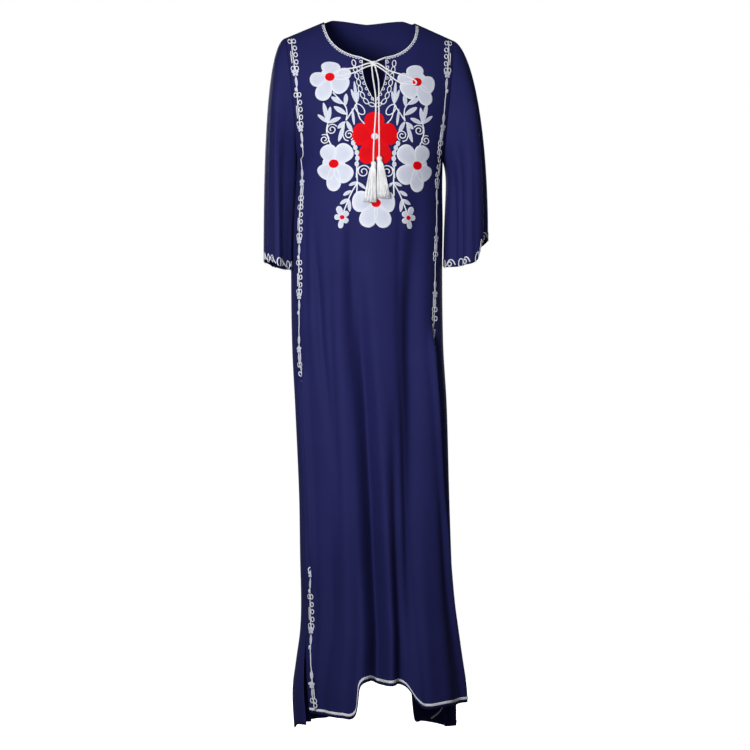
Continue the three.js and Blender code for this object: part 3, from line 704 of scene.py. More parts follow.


# Satin stitch in white rayon thread: parallel stitches 0.9 mm apart, each with a painted highlight along it.
# The rim of each petal, where the thread turns back, has a painted highlight and is whiter than its middle.
def satin_stitch(name, rim, middle, deep):
    material, tree, surface, place, uv = new_material(name, 0.6, 0.02)
    stitches = add_node(tree, "ShaderNodeTexWave", ACROSS, {
        "Vector": uv, "Scale": band_scale(0.9), **UNEVEN,
    })
    out = add_node(tree, "ShaderNodeAttribute", {"attribute_name": "rim"})
    # The painted highlight on each pad's rim
    edge = add_node(tree, "ShaderNodeMath", {"operation": "POWER"}, {0: out.outputs["Fac"], 1: 5.0})
    cloud = add_node(tree, "ShaderNodeTexNoise", {}, {"Vector": place, "Scale": 60.0, "Detail": 2.0})
    inner = add_node(tree, "ShaderNodeMix", COLOURS, {
        SHARE: cloud.outputs[0], FIRST: linear(deep), SECOND: linear(middle),
    })
    # The painted highlight along each stitch
    light = add_node(tree, "ShaderNodeMath", {"operation": "MULTIPLY"}, {
        0: stitches.outputs["Fac"], 1: 0.45,
    })
    stitched = add_node(tree, "ShaderNodeMix", COLOURS, {
        SHARE: light.outputs[0], FIRST: inner.outputs[MIXED], SECOND: linear(rim),
    })
    colour = add_node(tree, "ShaderNodeMix", COLOURS, {
        SHARE: edge.outputs[0], FIRST: stitched.outputs[MIXED], SECOND: linear(rim),
    })
    bump = add_node(tree, "ShaderNodeBump", {}, {
        "Height": stitches.outputs["Fac"], "Distance": 0.25 * MM, "Strength": BUMP_STRENGTH,
    })
    tree.links.new(colour.outputs[MIXED], surface.inputs["Base Color"])
    tree.links.new(bump.outputs[0], surface.inputs["Normal"])
    return material


# Machine embroidery thread, couched down with slanting stitches 1.4 mm apart. Its colour runs from painted
# shade between the stitches to a painted highlight on each.
def couched_thread(name, light, shade):
    material, tree, surface, _, uv = new_material(name, 0.55, 0.12)
    slant = (0, 0, math.radians(35))
    slanted = add_node(tree, "ShaderNodeMapping", {}, {"Vector": uv, "Rotation": slant})
    stitches = add_node(tree, "ShaderNodeTexWave", UPWARDS, {
        "Vector": slanted.outputs[0], "Scale": band_scale(1.4), **UNEVEN,
    })
    # Painted shade between the stitches and a painted highlight on each
    colour = add_node(tree, "ShaderNodeMix", COLOURS, {
        SHARE: stitches.outputs["Fac"], FIRST: linear(shade), SECOND: linear(light),
    })
    bump = add_node(tree, "ShaderNodeBump", {}, {
        "Height": stitches.outputs["Fac"], "Distance": 0.3 * MM, "Strength": BUMP_STRENGTH,
    })
    tree.links.new(colour.outputs[MIXED], surface.inputs["Base Color"])
    tree.links.new(bump.outputs[0], surface.inputs["Normal"])
    return material


# Loose white cotton: matt, with fine fibres 0.5 mm apart along each strand
def loose_cotton(name, light, shade):
    material, tree, surface, place, uv = new_material(name, 0.75, 0.2)
    fibres = add_node(tree, "ShaderNodeTexWave", ACROSS, {"Vector": uv, "Scale": band_scale(0.5), **UNEVEN})
    cloud = add_node(tree, "ShaderNodeTexNoise", {}, {"Vector": place, "Scale": 220.0, "Detail": 2.0})
    colour = add_node(tree, "ShaderNodeMix", COLOURS, {
        SHARE: cloud.outputs[0], FIRST: linear(shade), SECOND: linear(light),
    })
    bump = add_node(tree, "ShaderNodeBump", {}, {
        "Height": fibres.outputs["Fac"], "Distance": 0.15 * MM, "Strength": BUMP_STRENGTH,
    })
    tree.links.new(colour.outputs[MIXED], surface.inputs["Base Color"])
    tree.links.new(bump.outputs[0], surface.inputs["Normal"])
    return material


NAVY = woven_viscose()
# Each satin's first colour is its painted highlight, on the rims and along the stitches
WHITE_SATIN = satin_stitch("white satin stitch", "#F1F3FC", "#D9DEEE", "#BEC5DC")
RED_SATIN = satin_stitch("red satin stitch", "#F4000E", "#EA0012", "#C0000C")
# The thread and the cord: a painted highlight colour, then a painted shade colour
WHITE_THREAD = couched_thread("white couched thread", "#FFFFFF", "#E2E6F4")
WHITE_CORD = couched_thread("white twisted cotton", "#FFFFFF", "#F0F1F7")
WHITE_COTTON = loose_cotton("white loose cotton", "#FFFFFF", "#F4F4F9")


# Threads that lie on the cloth
# A thread's section: share of its width across, share of its height up. It sits a little into the cloth.
THREAD_SECTION = [(-0.5, -0.35), (0.5, -0.35), (0.4, 0.5), (0.0, 1.0), (-0.4, 0.5)]


def stitched_lines(name, lines, place, material):
    """One raised line for each row of (pattern places, width, height), draped on the cloth."""
    points = []
    faces = []
    uv = []
    count = 0
    shares, lifts = np.array(THREAD_SECTION).T
    for route, width, height in lines:
        route = np.asarray(route, float)
        tangent = unit(np.gradient(route, axis=0) + 1e-9)
        across = np.stack([-tangent[:, 1], tangent[:, 0]], axis=-1)
        spots = route[:, None] - across[:, None] * (shares * width)[:, None]
        over = np.broadcast_to(lifts * height, spots.shape[:2])
        points.append(np.dstack([spots, over]).reshape(-1, 3))
        uv.append(np.stack(np.broadcast_arrays(shares * width, run_lengths(route)[:, None]), axis=-1))
        faces += tube_faces(len(route), len(shares), count, is_flipped=True)
        count += over.size
    uv = np.concatenate([part.reshape(-1, 2) for part in uv])
    return add_piece(name, place(*np.concatenate(points).T), faces, uv, material)


# Pads of satin stitch
PAD_CORNERS = 36
# Rings of a pad from its edge inwards: share of its radius, share of its height
PAD_RINGS = [(1.0, 0.35), (0.965, 0.85), (0.9, 1.0), (0.8, 0.86), (0.55, 0.84), (0.28, 0.9)]
PAD_SINK = 0.4


def model_pad():
    """A round pad, modelled once: a ring is extruded up and drawn in, step by step, to a closed middle."""
    bpy.ops.object.select_all(action="DESELECT")
    radius = 1
    height = -PAD_SINK
    middle = (0, 0, height)
    bpy.ops.mesh.primitive_circle_add(
        vertices=PAD_CORNERS, radius=radius, fill_type="NGON", location=middle,
    )
    bpy.ops.object.transform_apply(location=True, rotation=True, scale=True)
    bpy.ops.object.mode_set(mode="EDIT")
    bpy.ops.mesh.select_all(action="SELECT")
    for share, lift in PAD_RINGS:
        bpy.ops.mesh.extrude_region_move(TRANSFORM_OT_translate={"value": (0, 0, lift - height)})
        bpy.ops.transform.resize(value=(share / radius, share / radius, 1), center_override=(0, 0, lift))
        radius = share
        height = lift
    bpy.ops.mesh.poke()
    bpy.ops.mesh.select_all(action="SELECT")
    bpy.ops.mesh.normals_make_consistent(inside=False)
    bpy.ops.object.mode_set(mode="OBJECT")
    pad = bpy.context.object
    points = np.array([vertex.co for vertex in pad.data.vertices])
    faces = [tuple(face.vertices) for face in pad.data.polygons]
    bpy.data.objects.remove(pad)
    return points, faces


PAD_POINTS, PAD_FACES = model_pad()


def pads_piece(name, pads, place, material):
    """Petals and leaves: each row is root, tip, half width, taper, point and height, on a flat pattern.
    Taper widens a pad towards its tip, and point draws both its ends in."""
    points = []
    faces = []
    uv = []
    rims = []
    for root, tip, half, taper, point, height in pads:
        root = np.asarray(root, float)
        tip = np.asarray(tip, float)
        axis = (tip - root) / 2
        length = np.hypot(*axis)
        ahead = axis / length
        side = np.array([-ahead[1], ahead[0]])
        a = PAD_POINTS[:, 0]
        b = PAD_POINTS[:, 1] * (1 + taper * a) * np.sqrt(1 - point * a**2)
        spot = (root + tip) / 2 + np.outer(a, axis) + np.outer(b * half, side)
        faces += [tuple(k + len(points) * len(PAD_POINTS) for k in face) for face in PAD_FACES]
        points.append(np.column_stack([spot, PAD_POINTS[:, 2] * height]))
        uv.append(np.column_stack([b * half, a * length]))
        # Each place's share of its pad's radius, the mask for the painted rim highlight
        rims.append(np.hypot(PAD_POINTS[:, 0], PAD_POINTS[:, 1]))
    draped = place(*np.concatenate(points).T)
    return add_piece(name, draped, faces, np.concatenate(uv), material, (), np.concatenate(rims))


def disc(middle, radius, half, height):
    """A round pad, as a row for pads_piece."""
    return np.subtract(middle, (radius, 0)), np.add(middle, (radius, 0)), half, 0, 0, height


# Shapes on the flat pattern
def soft(*knots, step=2.0):
    """A smooth line through given places."""
    knots = np.asarray(knots, float)
    ends = np.concatenate([[2 * knots[0] - knots[1]], knots, [2 * knots[-1] - knots[-2]]])
    line = []
    for a, b, c, d in zip(ends[:-3], ends[1:-2], ends[2:-1], ends[3:]):
        count = max(2, int(math.dist(b, c) / step))
        t = (np.arange(count) / count)[:, None]
        line.append(0.5 * (2 * b + (c - a) * t + (2 * a - 5 * b + 4 * c - d) * t**2
                           + (3 * b - a - 3 * c + d) * t**3))
    return np.concatenate(line + [knots[-1:]])


def loop(centre, half_wide, half_tall, turn=0, begin=0, end=360, corners=18):
    """An oval ring, or a stretch of one, turned about its centre."""
    around = np.radians(np.linspace(begin, end, corners + 1))
    x = half_wide * np.cos(around)
    y = half_tall * np.sin(around)
    lean = math.radians(turn)
    return np.column_stack([centre[0] + x * math.cos(lean) - y * math.sin(lean),
                            centre[1] + x * math.sin(lean) + y * math.cos(lean)])


def spiral(centre, radius, begin, hand=1, turns=1.6, inner=0.22, corners=30):
    """A scroll that winds inwards, from an angle, to the left or to the right."""
    share = np.linspace(0, 1, corners + 1)
    around = np.radians(begin + hand * 360 * turns * share)
    reach = radius * mix(1, inner, share)
    return np.column_stack([centre[0] + reach * np.cos(around), centre[1] + reach * np.sin(around)])


def mirrored(line, sign):
    """A line drawn as distance from the middle of the yoke and height, laid out on one side of it."""
    line = np.array(line, float)
    line[..., 0] = YOKE_MIDDLE + sign * line[..., 0]
    return line


# Camera
def add_camera():
    camera = bpy.data.objects.new("camera", bpy.data.cameras.new("camera"))
    camera.data.lens = CAMERA_LENS
    camera.data.sensor_width = CAMERA_SENSOR
    camera.data.clip_end = 50
    camera.location = CAMERA_TARGET + CAMERA_BACK * CAMERA_DISTANCE
    camera.rotation_euler = (-CAMERA_BACK).to_track_quat("-Z", "Y").to_euler()
    bpy.context.scene.collection.objects.link(camera)
    bpy.context.scene.camera = camera


add_camera()

# The tie. Each side is one cord: from the neck edge, through the knot into a loop, back through the knot
# and down to its tassel. Its places are seen from the front, and it lies on the cloth.
CORD = 3
CORD_LIFT = 2.4
KNOT_Z = -92
TIE_LEFT = [
    (-25, -79.5), (-19, -82), (-12, -85), (-6.4, -87.4), (1, -90.6), (8.9, -91.8), (17, -96.5), (25, -102.5),
    (34, -107), (44, -110), (55, -113), (66, -116.5), (77, -120.6), (84, -125.5), (85, -130.5), (80, -133),
    (70, -132.2), (60, -131), (51, -129), (43, -124.6), (35, -118.6), (27, -111.5), (18, -104), (6.7, -96.6),
    (1, -94.6), (-2.4, -97.2), (-3, -102),
    (-2.6, -108), (-1.6, -120), (0.2, -134), (2, -148), (3.2, -162), (3.2, -178), (2.4, -196), (1.2, -214),
    (0, -232), (-1, -250), (-1.7, -268), (-2, -286), (-3.2, -302), (-4.4, -318),
]
TIE_RIGHT = [
    (25, -79), (19, -81.5), (12, -84.7), (6.4, -87.4), (-1, -90.6), (-8.9, -91.8), (-15, -93.2), (-22, -96),
    (-32, -99.6), (-42, -102), (-52, -103.2), (-60, -104.4), (-66.5, -108), (-69.5, -113), (-67, -117.2),
    (-60, -117.2), (-51, -115), (-42, -112.2), (-32, -108.6), (-23, -103.6), (-15, -99.6), (-6.7, -96.6),
    (-1, -94.6), (2.6, -96.6),
    (4.4, -101.4), (5.6, -107), (8, -118), (9.6, -132), (9.8, -147), (9.4, -162), (9.2, -178), (9.2, -196),
    (9.2, -214), (9.3, -232), (9.4, -250), (9.5, -263), (9.5, -276), (10.8, -292), (12.3, -308),
]
CORD_SIDES = 14
CORD_STRANDS = 3
CORD_TWIST = 9.0
CORD_GROOVE = 0.14


def on_cloth(x, z, lift):
    """Places seen from the front, straight in front of the cloth."""
    x = np.asarray(x, float)
    z = np.asarray(z, float)
    point = body_point(z, front_angle(x, z), True)
    return np.column_stack([x, point[:, 1] - lift, z])


def twisted_cord(name, centre, replaced):
    """A three-strand cord along a line of places."""
    ahead = unit(np.gradient(centre, axis=0))
    side = unit(np.cross(ahead, np.array([0, 1.0, 0])))
    over = np.cross(side, ahead)
    length = run_lengths(centre)
    around = 2 * np.pi * np.arange(CORD_SIDES) / CORD_SIDES
    wave = np.cos(CORD_STRANDS * (around[None, :] - 2 * np.pi * length[:, None] / CORD_TWIST))
    reach = CORD / 2 * (1 - CORD_GROOVE / 2 + CORD_GROOVE / 2 * wave)
    points = (centre[:, None, :] + reach[..., None] * (np.cos(around)[None, :, None] * side[:, None, :]
              + np.sin(around)[None, :, None] * over[:, None, :]))
    faces = tube_faces(len(centre), CORD_SIDES)
    uv = np.stack(np.broadcast_arrays(around[None, :] * CORD / 2, length[:, None]), axis=-1).reshape(-1, 2)
    return add_piece(name, points.reshape(-1, 3), faces, uv, WHITE_CORD, replaced)


def lay_cord(name, route, replaced):
    line = soft(*route, step=1.2)
    centre = on_cloth(line[:, 0], line[:, 1], CORD_LIFT)
    return twisted_cord(name, centre, replaced), centre


LEFT_NODES = ("tie_neck_left", "tie_loop_right", "tie_end_left")
RIGHT_NODES = ("tie_neck_right", "tie_loop_left", "tie_end_right")
tie_left, left_centre = lay_cord("tie_left", TIE_LEFT, LEFT_NODES)
tie_right, right_centre = lay_cord("tie_right", TIE_RIGHT, RIGHT_NODES)

# The knot: turns of cord round the crossing
TURN_CORNERS = 40
TURN_SIDES = 10
# Each turn: height over the knot's middle, half width, half depth, half thickness, lean in degrees
KNOT_TURNS = [(2.6, 4.2, 3.3, 1.7, 8), (-0.4, 5.0, 3.6, 1.75, -10), (-3.4, 4.0, 3.1, 1.6, 5)]


def turn_of_cord(centre, half_wide, half_deep, half_thick, lean):
    """One turn of cord, as places and UVs."""
    around = 2 * np.pi * np.arange(TURN_CORNERS) / TURN_CORNERS
    lean = math.radians(lean)
    x = half_wide * np.cos(around)
    y = half_deep * np.sin(around)
    line = np.column_stack([x * math.cos(lean), y, x * math.sin(lean)]) + centre
    ahead = unit(np.roll(line, -1, axis=0) - np.roll(line, 1, axis=0))
    side = np.tile([-math.sin(lean), 0, math.cos(lean)], (TURN_CORNERS, 1))
    over = np.cross(side, ahead)
    turn = 2 * np.pi * np.arange(TURN_SIDES) / TURN_SIDES
    points = (line[:, None, :] + half_thick * (np.cos(turn)[None, :, None] * side[:, None, :]
              + np.sin(turn)[None, :, None] * over[:, None, :]))
    uv = np.stack(np.broadcast_arrays(turn[None, :] * half_thick, around[:, None] * half_wide), axis=-1)
    return points.reshape(-1, 3), uv.reshape(-1, 2)


def tie_knot():
    middle = on_cloth([0], [KNOT_Z], CORD_LIFT)[0]
    points = []
    faces = []
    uv = []
    for rise, wide, deep, thick, lean in KNOT_TURNS:
        faces += tube_faces(TURN_CORNERS, TURN_SIDES, len(points) * TURN_CORNERS * TURN_SIDES, is_ring=True)
        turn_points, turn_uv = turn_of_cord(middle + [0, 0, rise], wide, deep, thick, lean)
        points.append(turn_points)
        uv.append(turn_uv)
    return add_piece("knot", np.concatenate(points), faces, np.concatenate(uv), WHITE_CORD, ("tie_knot",))


knot = tie_knot()

# Tassels: a bound head and a skirt of loose strands
TASSEL_LIFT = 6.6
# Each tassel's head and the end of its skirt, as places seen from the front
TASSELS = {
    "tassel_left": (-2, -286.6, -8.6, -364),
    "tassel_right": (9.5, -276.6, 18.6, -356),
}
# The head from its top down: radius, height
HEAD_PROFILE = [
    (0.3, 0.6), (2.9, -0.2), (4.7, -2.2), (5.2, -4.6), (4.7, -7), (3.5, -8.6), (4.4, -10), (5.1, -11.6),
]
HEAD_SIDES = 28
HEAD_FLATNESS = 0.8
STRANDS = 120
STRAND_ROOT = 0.55
STRAND_TIP = 0.72
STRAND_STEPS = 9
STRAND_CORNERS = 4
# The skirt's half width and half depth at the head and at its end
SKIRT_ROOT = (3.7, 2.4)
SKIRT_HEM = (12.6, 5.4)
SKIRT_SPREAD = 0.62
SKIRT_DROP = 8.6


def tassel(name, top_x, top_z, hem_x, hem_z):
    def centre(share):
        x = mix(top_x, hem_x, share)
        z = mix(top_z, hem_z, share)
        return on_cloth(np.atleast_1d(x), np.atleast_1d(z), TASSEL_LIFT)

    points = []
    uv = []
    top = centre(0.0)[0]
    around = 2 * np.pi * np.arange(HEAD_SIDES) / HEAD_SIDES
    for radius, drop in HEAD_PROFILE:
        thread = 1 + 0.04 * np.cos(7 * around)
        points.append(np.column_stack([
            top[0] + radius * thread * np.cos(around),
            top[1] + HEAD_FLATNESS * radius * thread * np.sin(around),
            np.full(HEAD_SIDES, top[2] + drop),
        ]))
        uv.append(np.column_stack([around * radius, np.full(HEAD_SIDES, drop)]))
    faces = tube_faces(len(HEAD_PROFILE), HEAD_SIDES, is_flipped=True)
    count = len(HEAD_PROFILE) * HEAD_SIDES

    # Strands are set out on a sunflower pattern, so that they fill the skirt evenly.
    root_share = SKIRT_DROP / (top_z - hem_z)
    down = np.linspace(0, 1, STRAND_STEPS)
    middle = centre(mix(root_share, 1, down))
    spread = down**SKIRT_SPREAD
    thick = mix(STRAND_ROOT, STRAND_TIP, down)[:, None]
    corner = np.arange(STRAND_CORNERS)
    lean = 2 * math.pi / STRAND_CORNERS * corner + 0.4 * np.arange(STRAND_STEPS)[:, None]
    for k in range(STRANDS):
        reach = math.sqrt((k + 0.5) / STRANDS)
        turn = k * math.pi * (3 - math.sqrt(5))
        sway = 0.5 * np.sin(3.1 * down + 1.7 * k) * down
        x = middle[:, 0] + reach * math.cos(turn) * mix(SKIRT_ROOT[0], SKIRT_HEM[0], spread) + sway
        y = middle[:, 1] + reach * math.sin(turn) * mix(SKIRT_ROOT[1], SKIRT_HEM[1], spread)
        z = middle[:, 2] + down * (1.9 * math.sin(5.1 * k) - 0.4)
        strand = x[:, None] + thick * np.cos(lean), y[:, None] + thick * np.sin(lean), z[:, None]
        points.append(np.stack(np.broadcast_arrays(*strand), axis=-1).reshape(-1, 3))
        uv.append(np.stack(np.broadcast_arrays(corner * thick, z[:, None]), axis=-1).reshape(-1, 2))
        faces += tube_faces(STRAND_STEPS, STRAND_CORNERS, count, is_flipped=True)
        count += STRAND_STEPS * STRAND_CORNERS
    uv = np.concatenate(uv)
    return add_piece(name + "_skirt", np.concatenate(points), faces, uv, WHITE_COTTON, (name,))


tassels = [tassel(name, *places) for name, places in TASSELS.items()]

# The cloth
FRONT_COLUMNS = 170
BACK_COLUMNS = 200
SLEEVE_ROUND = 120
SLEEVE_ROWS = 84


def kept_on_side(points, is_front):
    """The seam over the shoulder: neither panel crosses the plane between them above the underarm."""
    y = points[..., 1]
    limited = np.minimum(y, -SEAM_GAP / 2) if is_front else np.maximum(y, SEAM_GAP / 2)
    points[..., 1] = np.where(points[..., 2] > UNDERARM_Z, limited, y)
    return points


def body_panel(side, columns):
    grid = panel_grid(side, columns)
    inner = grid - grid_normals(grid, False) * CLOTH
    is_front = side == "front"
    points, faces, uv = wall(kept_on_side(grid, is_front), kept_on_side(inner, is_front), False)
    node = side + "_panel"
    return add_piece(side + "_cloth", points, faces, uv, NAVY, (node,))


def neck_height(x):
    return -NECK_DROP * np.clip(1 - np.abs(x / NECK_HALF) ** NECK_POWER, 0, 1) ** (1 / NECK_POWER)


NECK_STEPS = 40
CUTTER_ABOVE = 60
CUTTER_DEPTH = 260


def neck_outline():
    """The neck opening and the slit below it, as places seen from the front."""
    around = np.linspace(0, math.pi / 2, NECK_STEPS)
    x = NECK_HALF * np.cos(around)
    x = np.append(x[x > SLIT_HALF], SLIT_HALF)
    right = np.column_stack([x, neck_height(x)])
    left = right * [-1, 1]
    left_slit = [(x, z) for z, x, _ in SLIT]
    right_slit = [(x, z) for z, _, x in reversed(SLIT)]
    ends = [(-NECK_HALF, CUTTER_ABOVE)], [(NECK_HALF, CUTTER_ABOVE)]
    return np.concatenate([ends[0], left, left_slit, right_slit, right[::-1], ends[1]])


def cut_neck(panel):
    outline = neck_outline()
    count = len(outline)
    places = [(x * MM, y * MM, z * MM) for y in (5, 5 - CUTTER_DEPTH) for x, z in outline]
    faces = [tuple(range(count)), tuple(count + i for i in reversed(range(count)))]
    faces += [(i, count + i, count + (i + 1) % count, (i + 1) % count) for i in range(count)]
    mesh = bpy.data.meshes.new("neck_cutter")
    mesh.from_pydata(places, [], faces)
    cutter = bpy.data.objects.new("neck_cutter", mesh)
    bpy.context.scene.collection.objects.link(cutter)
    bpy.ops.object.select_all(action="DESELECT")
    cutter.select_set(True)
    bpy.context.view_layer.objects.active = cutter
    bpy.ops.object.mode_set(mode="EDIT")
    bpy.ops.mesh.select_all(action="SELECT")
    bpy.ops.mesh.normals_make_consistent(inside=False)
    bpy.ops.object.mode_set(mode="OBJECT")
    bpy.context.view_layer.objects.active = panel
    cut = panel.modifiers.new("neck", "BOOLEAN")
    cut.object = cutter
    cut.solver = "EXACT"
    bpy.ops.object.modifier_apply(modifier=cut.name)
    bpy.data.objects.remove(cutter)


def sleeve_cloth(name):
    sleeve = SLEEVES[name]
    angle = np.arange(SLEEVE_ROUND) * 360 / SLEEVE_ROUND
    share = np.linspace(0, 1, SLEEVE_ROWS + 1)
    grid = sleeve_point(sleeve, *np.broadcast_arrays(angle[None, :], share[:, None]))
    is_flipped = sleeve["sign"] > 0
    normals = grid_normals(grid, True) * (-1 if is_flipped else 1)
    inner = grid - normals * CLOTH
    limit = side_edge(inner[0, :, 2], sleeve["sign"]) + SEAM_GAP
    inner[0, :, 0] = sleeve["sign"] * np.maximum(inner[0, :, 0] * sleeve["sign"], limit)
    points, faces, uv = wall(grid, inner, True, is_flipped)
    return add_piece("sleeve_cloth_" + name, points, faces, uv, NAVY, ("sleeve_" + name,))


front = body_panel("front", FRONT_COLUMNS)
cut_neck(front)
back = body_panel("back", BACK_COLUMNS)
sleeves = {name: sleeve_cloth(name) for name in SLEEVES}

# The yoke's flowers: name, middle, then each petal's direction, reach and half width
FLOWERS = [
    ("upper_left", (-85, -119), [(84, 31, 18), (190, 39, 14), (247, 50, 15), (-38, 41, 19), (12, 42, 12)]),
    ("upper_right", (87, -127), [(100, 34, 17), (-12, 37, 17), (-62, 51, 14), (224, 39, 19), (170, 40, 12)]),
    ("side_left", (-78, -290), [(114, 40, 15), (48, 46, 18), (-46, 45, 18), (-90, 54, 13.5), (228, 35, 17)]),
    ("side_right", (87, -292), [
        (68, 42, 15.5), (137, 50, 18), (219, 49, 18.5), (-90, 52, 14), (-45, 35, 17.5),
    ]),
    ("middle", (1, -237), [(91, 48, 19), (10, 45, 21), (172, 44, 21), (-66, 57, 17), (-112, 57, 16.5)]),
    ("bottom", (4, -367), [(92, 27, 15), (5, 38, 19.5), (175, 47, 20), (-66, 52, 16), (-117, 52, 16.5)]),
]
RED_FLOWER = "middle"
PETAL_HEIGHT = 0.75
PETAL_TAPER = 0.3
PETAL_ROOT = 2
# The round pad under the petals: its share of the shortest petal's reach, and of the petals' height
HEART_SHARE = 0.62
HEART_HEIGHT = 0.7
# The round pad on a flower's middle
CENTRE_RADIUS = 9.5
RED_FLOWER_CENTRE_RADIUS = 7
CENTRE_NARROWING = 0.9
CENTRE_HEIGHT = 1.15


def heading(degrees):
    """A step of 1 mm in a direction on the flat pattern."""
    return np.array([math.cos(math.radians(degrees)), math.sin(math.radians(degrees))])


def flower_pads(middle, petals, root, heart):
    pads = [disc(middle, heart, heart, PETAL_HEIGHT * HEART_HEIGHT)]
    for direction, reach, half in petals:
        ahead = heading(direction)
        pads.append((middle + ahead * root, middle + ahead * reach, half, PETAL_TAPER, 0, PETAL_HEIGHT))
    return pads


for label, middle, petals in FLOWERS:
    petal_satin, centre_satin = (RED_SATIN, WHITE_SATIN) if label == RED_FLOWER else (WHITE_SATIN, RED_SATIN)
    heart = min(reach for _, reach, _ in petals) * HEART_SHARE
    radius = RED_FLOWER_CENTRE_RADIUS if label == RED_FLOWER else CENTRE_RADIUS
    middle = np.array(middle, float)
    name = "flower_" + label
    pads_piece(name, flower_pads(middle, petals, PETAL_ROOT, heart), on_yoke, petal_satin)
    centre = [disc(middle, radius, radius * CENTRE_NARROWING, CENTRE_HEIGHT)]
    pads_piece(name + "_centre", centre, on_yoke, centre_satin)

# What is drawn once for the left half of the yoke, as distance from its middle and height.
# Leaves: root, tip, half width
LEAVES = [
    ((91, -210), (100, -170), 4.2), ((91, -210), (87, -178), 3.8), ((91, -210), (111, -193), 3.4),
    ((91, -210), (67, -200), 4.2), ((63, -173), (85, -159), 4.8), ((58, -177), (56, -153), 4.2),
    ((56, -194), (80, -178), 4.8), ((36, -170), (40, -128), 2.9), ((36, -173), (46.5, -144), 3.1),
    ((35.5, -172), (32, -147), 2.7), ((58, -208), (73, -221), 4.2), ((60, -213), (71, -247), 4.0),
    ((56, -207), (45, -228), 4.0), ((45, -182), (41, -215), 2.7), ((35, -326), (51, -333), 3.2),
    ((35, -326), (18, -340), 3.0), ((46, -343), (62, -352), 3.6), ((52, -359), (68, -369), 3.8),
    ((51, -359), (49, -384), 3.6),
]
LEAF_HEIGHT = 0.75
# Stems: places, width
STEMS = [
    (((82, -150), (66, -168), (57, -180), (55, -195), (57, -206)), 2.6),
    (((57, -206), (48, -192), (36, -172), (37, -158)), 2.6),
    (((91, -208), (94, -225), (90, -243), (85, -254)), 2.6),
    (((37, -176), (34, -190), (30, -202), (21, -213)), 2.6),
    (((60, -210), (64, -225), (60, -242), (52, -246)), 2.4),
    (((44, -248), (38, -263), (35, -282), (36, -302), (35, -326), (36, -353)), 3.0),
    (((35, -328), (46, -347), (52, -361), (61, -384)), 2.8),
    (((37, -318), (36, -306), (31, -296)), 2.4),
]
# Scrolls: middle, radius, where each begins, way it winds
SCROLLS = [
    ((84, -223), 11, 150, -1), ((98, -242), 10, 60, 1), ((51, -234), 10.5, 250, -1),
    ((23, -306), 13, 160, -1),
]
SCROLL_WIDTH = 2.3
VINE_BEADS = [(43, -250), (39, -259), (36, -269), (35, -280), (36, -291)]
BEAD_LENGTH = 4.2
BEAD_HALF = 5.2
SMALL_FLOWER = (64, -395)
SMALL_PETALS = [(2, 15, 5.4), (70, 23, 5.8), (137, 16, 5.6), (220, 15, 5.4), (-80, 22, 5)]
SMALL_PETAL_ROOT = 1
SMALL_HEART = 7
# Radius, half width and height
SMALL_CENTRE = (4.6, 4.4, 1.05)
THREAD_HEIGHT = 0.7
# The right half is a little wider
YOKE_RIGHT_STRETCH = 1.05


def yoke_half(label, sign):
    def at(place):
        stretch = YOKE_RIGHT_STRETCH if sign > 0 else 1
        return mirrored(np.array(place, float) * [stretch, 1], sign)

    leaves = [(at(root), at(tip), half, 0.1, 0.55, LEAF_HEIGHT) for root, tip, half in LEAVES]
    for x, z in VINE_BEADS:
        leaves.append((at((x - BEAD_LENGTH, z)), at((x + BEAD_LENGTH, z)), BEAD_HALF, 0, 0, LEAF_HEIGHT))
    pads_piece("leaves_" + label, leaves, on_yoke, WHITE_SATIN)
    lines = [(at(soft(*places)), width, THREAD_HEIGHT) for places, width in STEMS]
    for middle, radius, begin, hand in SCROLLS:
        lines.append((at(spiral(middle, radius, begin, hand)), SCROLL_WIDTH, THREAD_HEIGHT))
    lines.append((at(loop((30, -184), 12.5, 7, 50)), SCROLL_WIDTH, THREAD_HEIGHT))
    stitched_lines("stems_" + label, lines, on_yoke, WHITE_THREAD)
    middle = at(SMALL_FLOWER)
    petals = [
        (direction if sign > 0 else 180 - direction, reach, half) for direction, reach, half in SMALL_PETALS
    ]
    pads = flower_pads(middle, petals, SMALL_PETAL_ROOT, SMALL_HEART)
    pads_piece("small_flower_" + label, pads, on_yoke, WHITE_SATIN)
    pads_piece("small_flower_centre_" + label, [disc(middle, *SMALL_CENTRE)], on_yoke, RED_SATIN)


yoke_half("left", -1)
yoke_half("right", 1)

# The slit's border: a row of small rings along the edge, and outside it a chain of longer ones that closes
# under the slit
CHAIN = [(41, -84), (37.5, -104), (32.5, -126), (27, -149), (17, -169), (0, -177)]
CHAIN_LINKS = 8
CHAIN_WIDTH = 1.9
INNER_RINGS = [
    (26, -88), (26.5, -99), (26.5, -110), (24.5, -121), (21, -132), (16.5, -143), (11, -154), (5, -163),
]
INNER_RING = 2.5
INNER_RING_WIDTH = 1.6
SLIT_LINE = [(23, -84), (23.4, -100), (23, -113), (16.9, -137), (8.4, -155), (1.9, -168)]
SLIT_LINE_WIDTH = 1.5


def along(line, share):
    """The place and the direction at a share of a line's length."""
    length = run_lengths(line)
    at = share * length[-1]
    place = np.array([np.interp(at, length, line[:, 0]), np.interp(at, length, line[:, 1])])
    ahead = np.array([np.interp(at + 1, length, line[:, 0]), np.interp(at + 1, length, line[:, 1])])
    before = np.array([np.interp(at - 1, length, line[:, 0]), np.interp(at - 1, length, line[:, 1])])
    turn = math.degrees(math.atan2(*(ahead - before)[::-1]))
    return place, turn


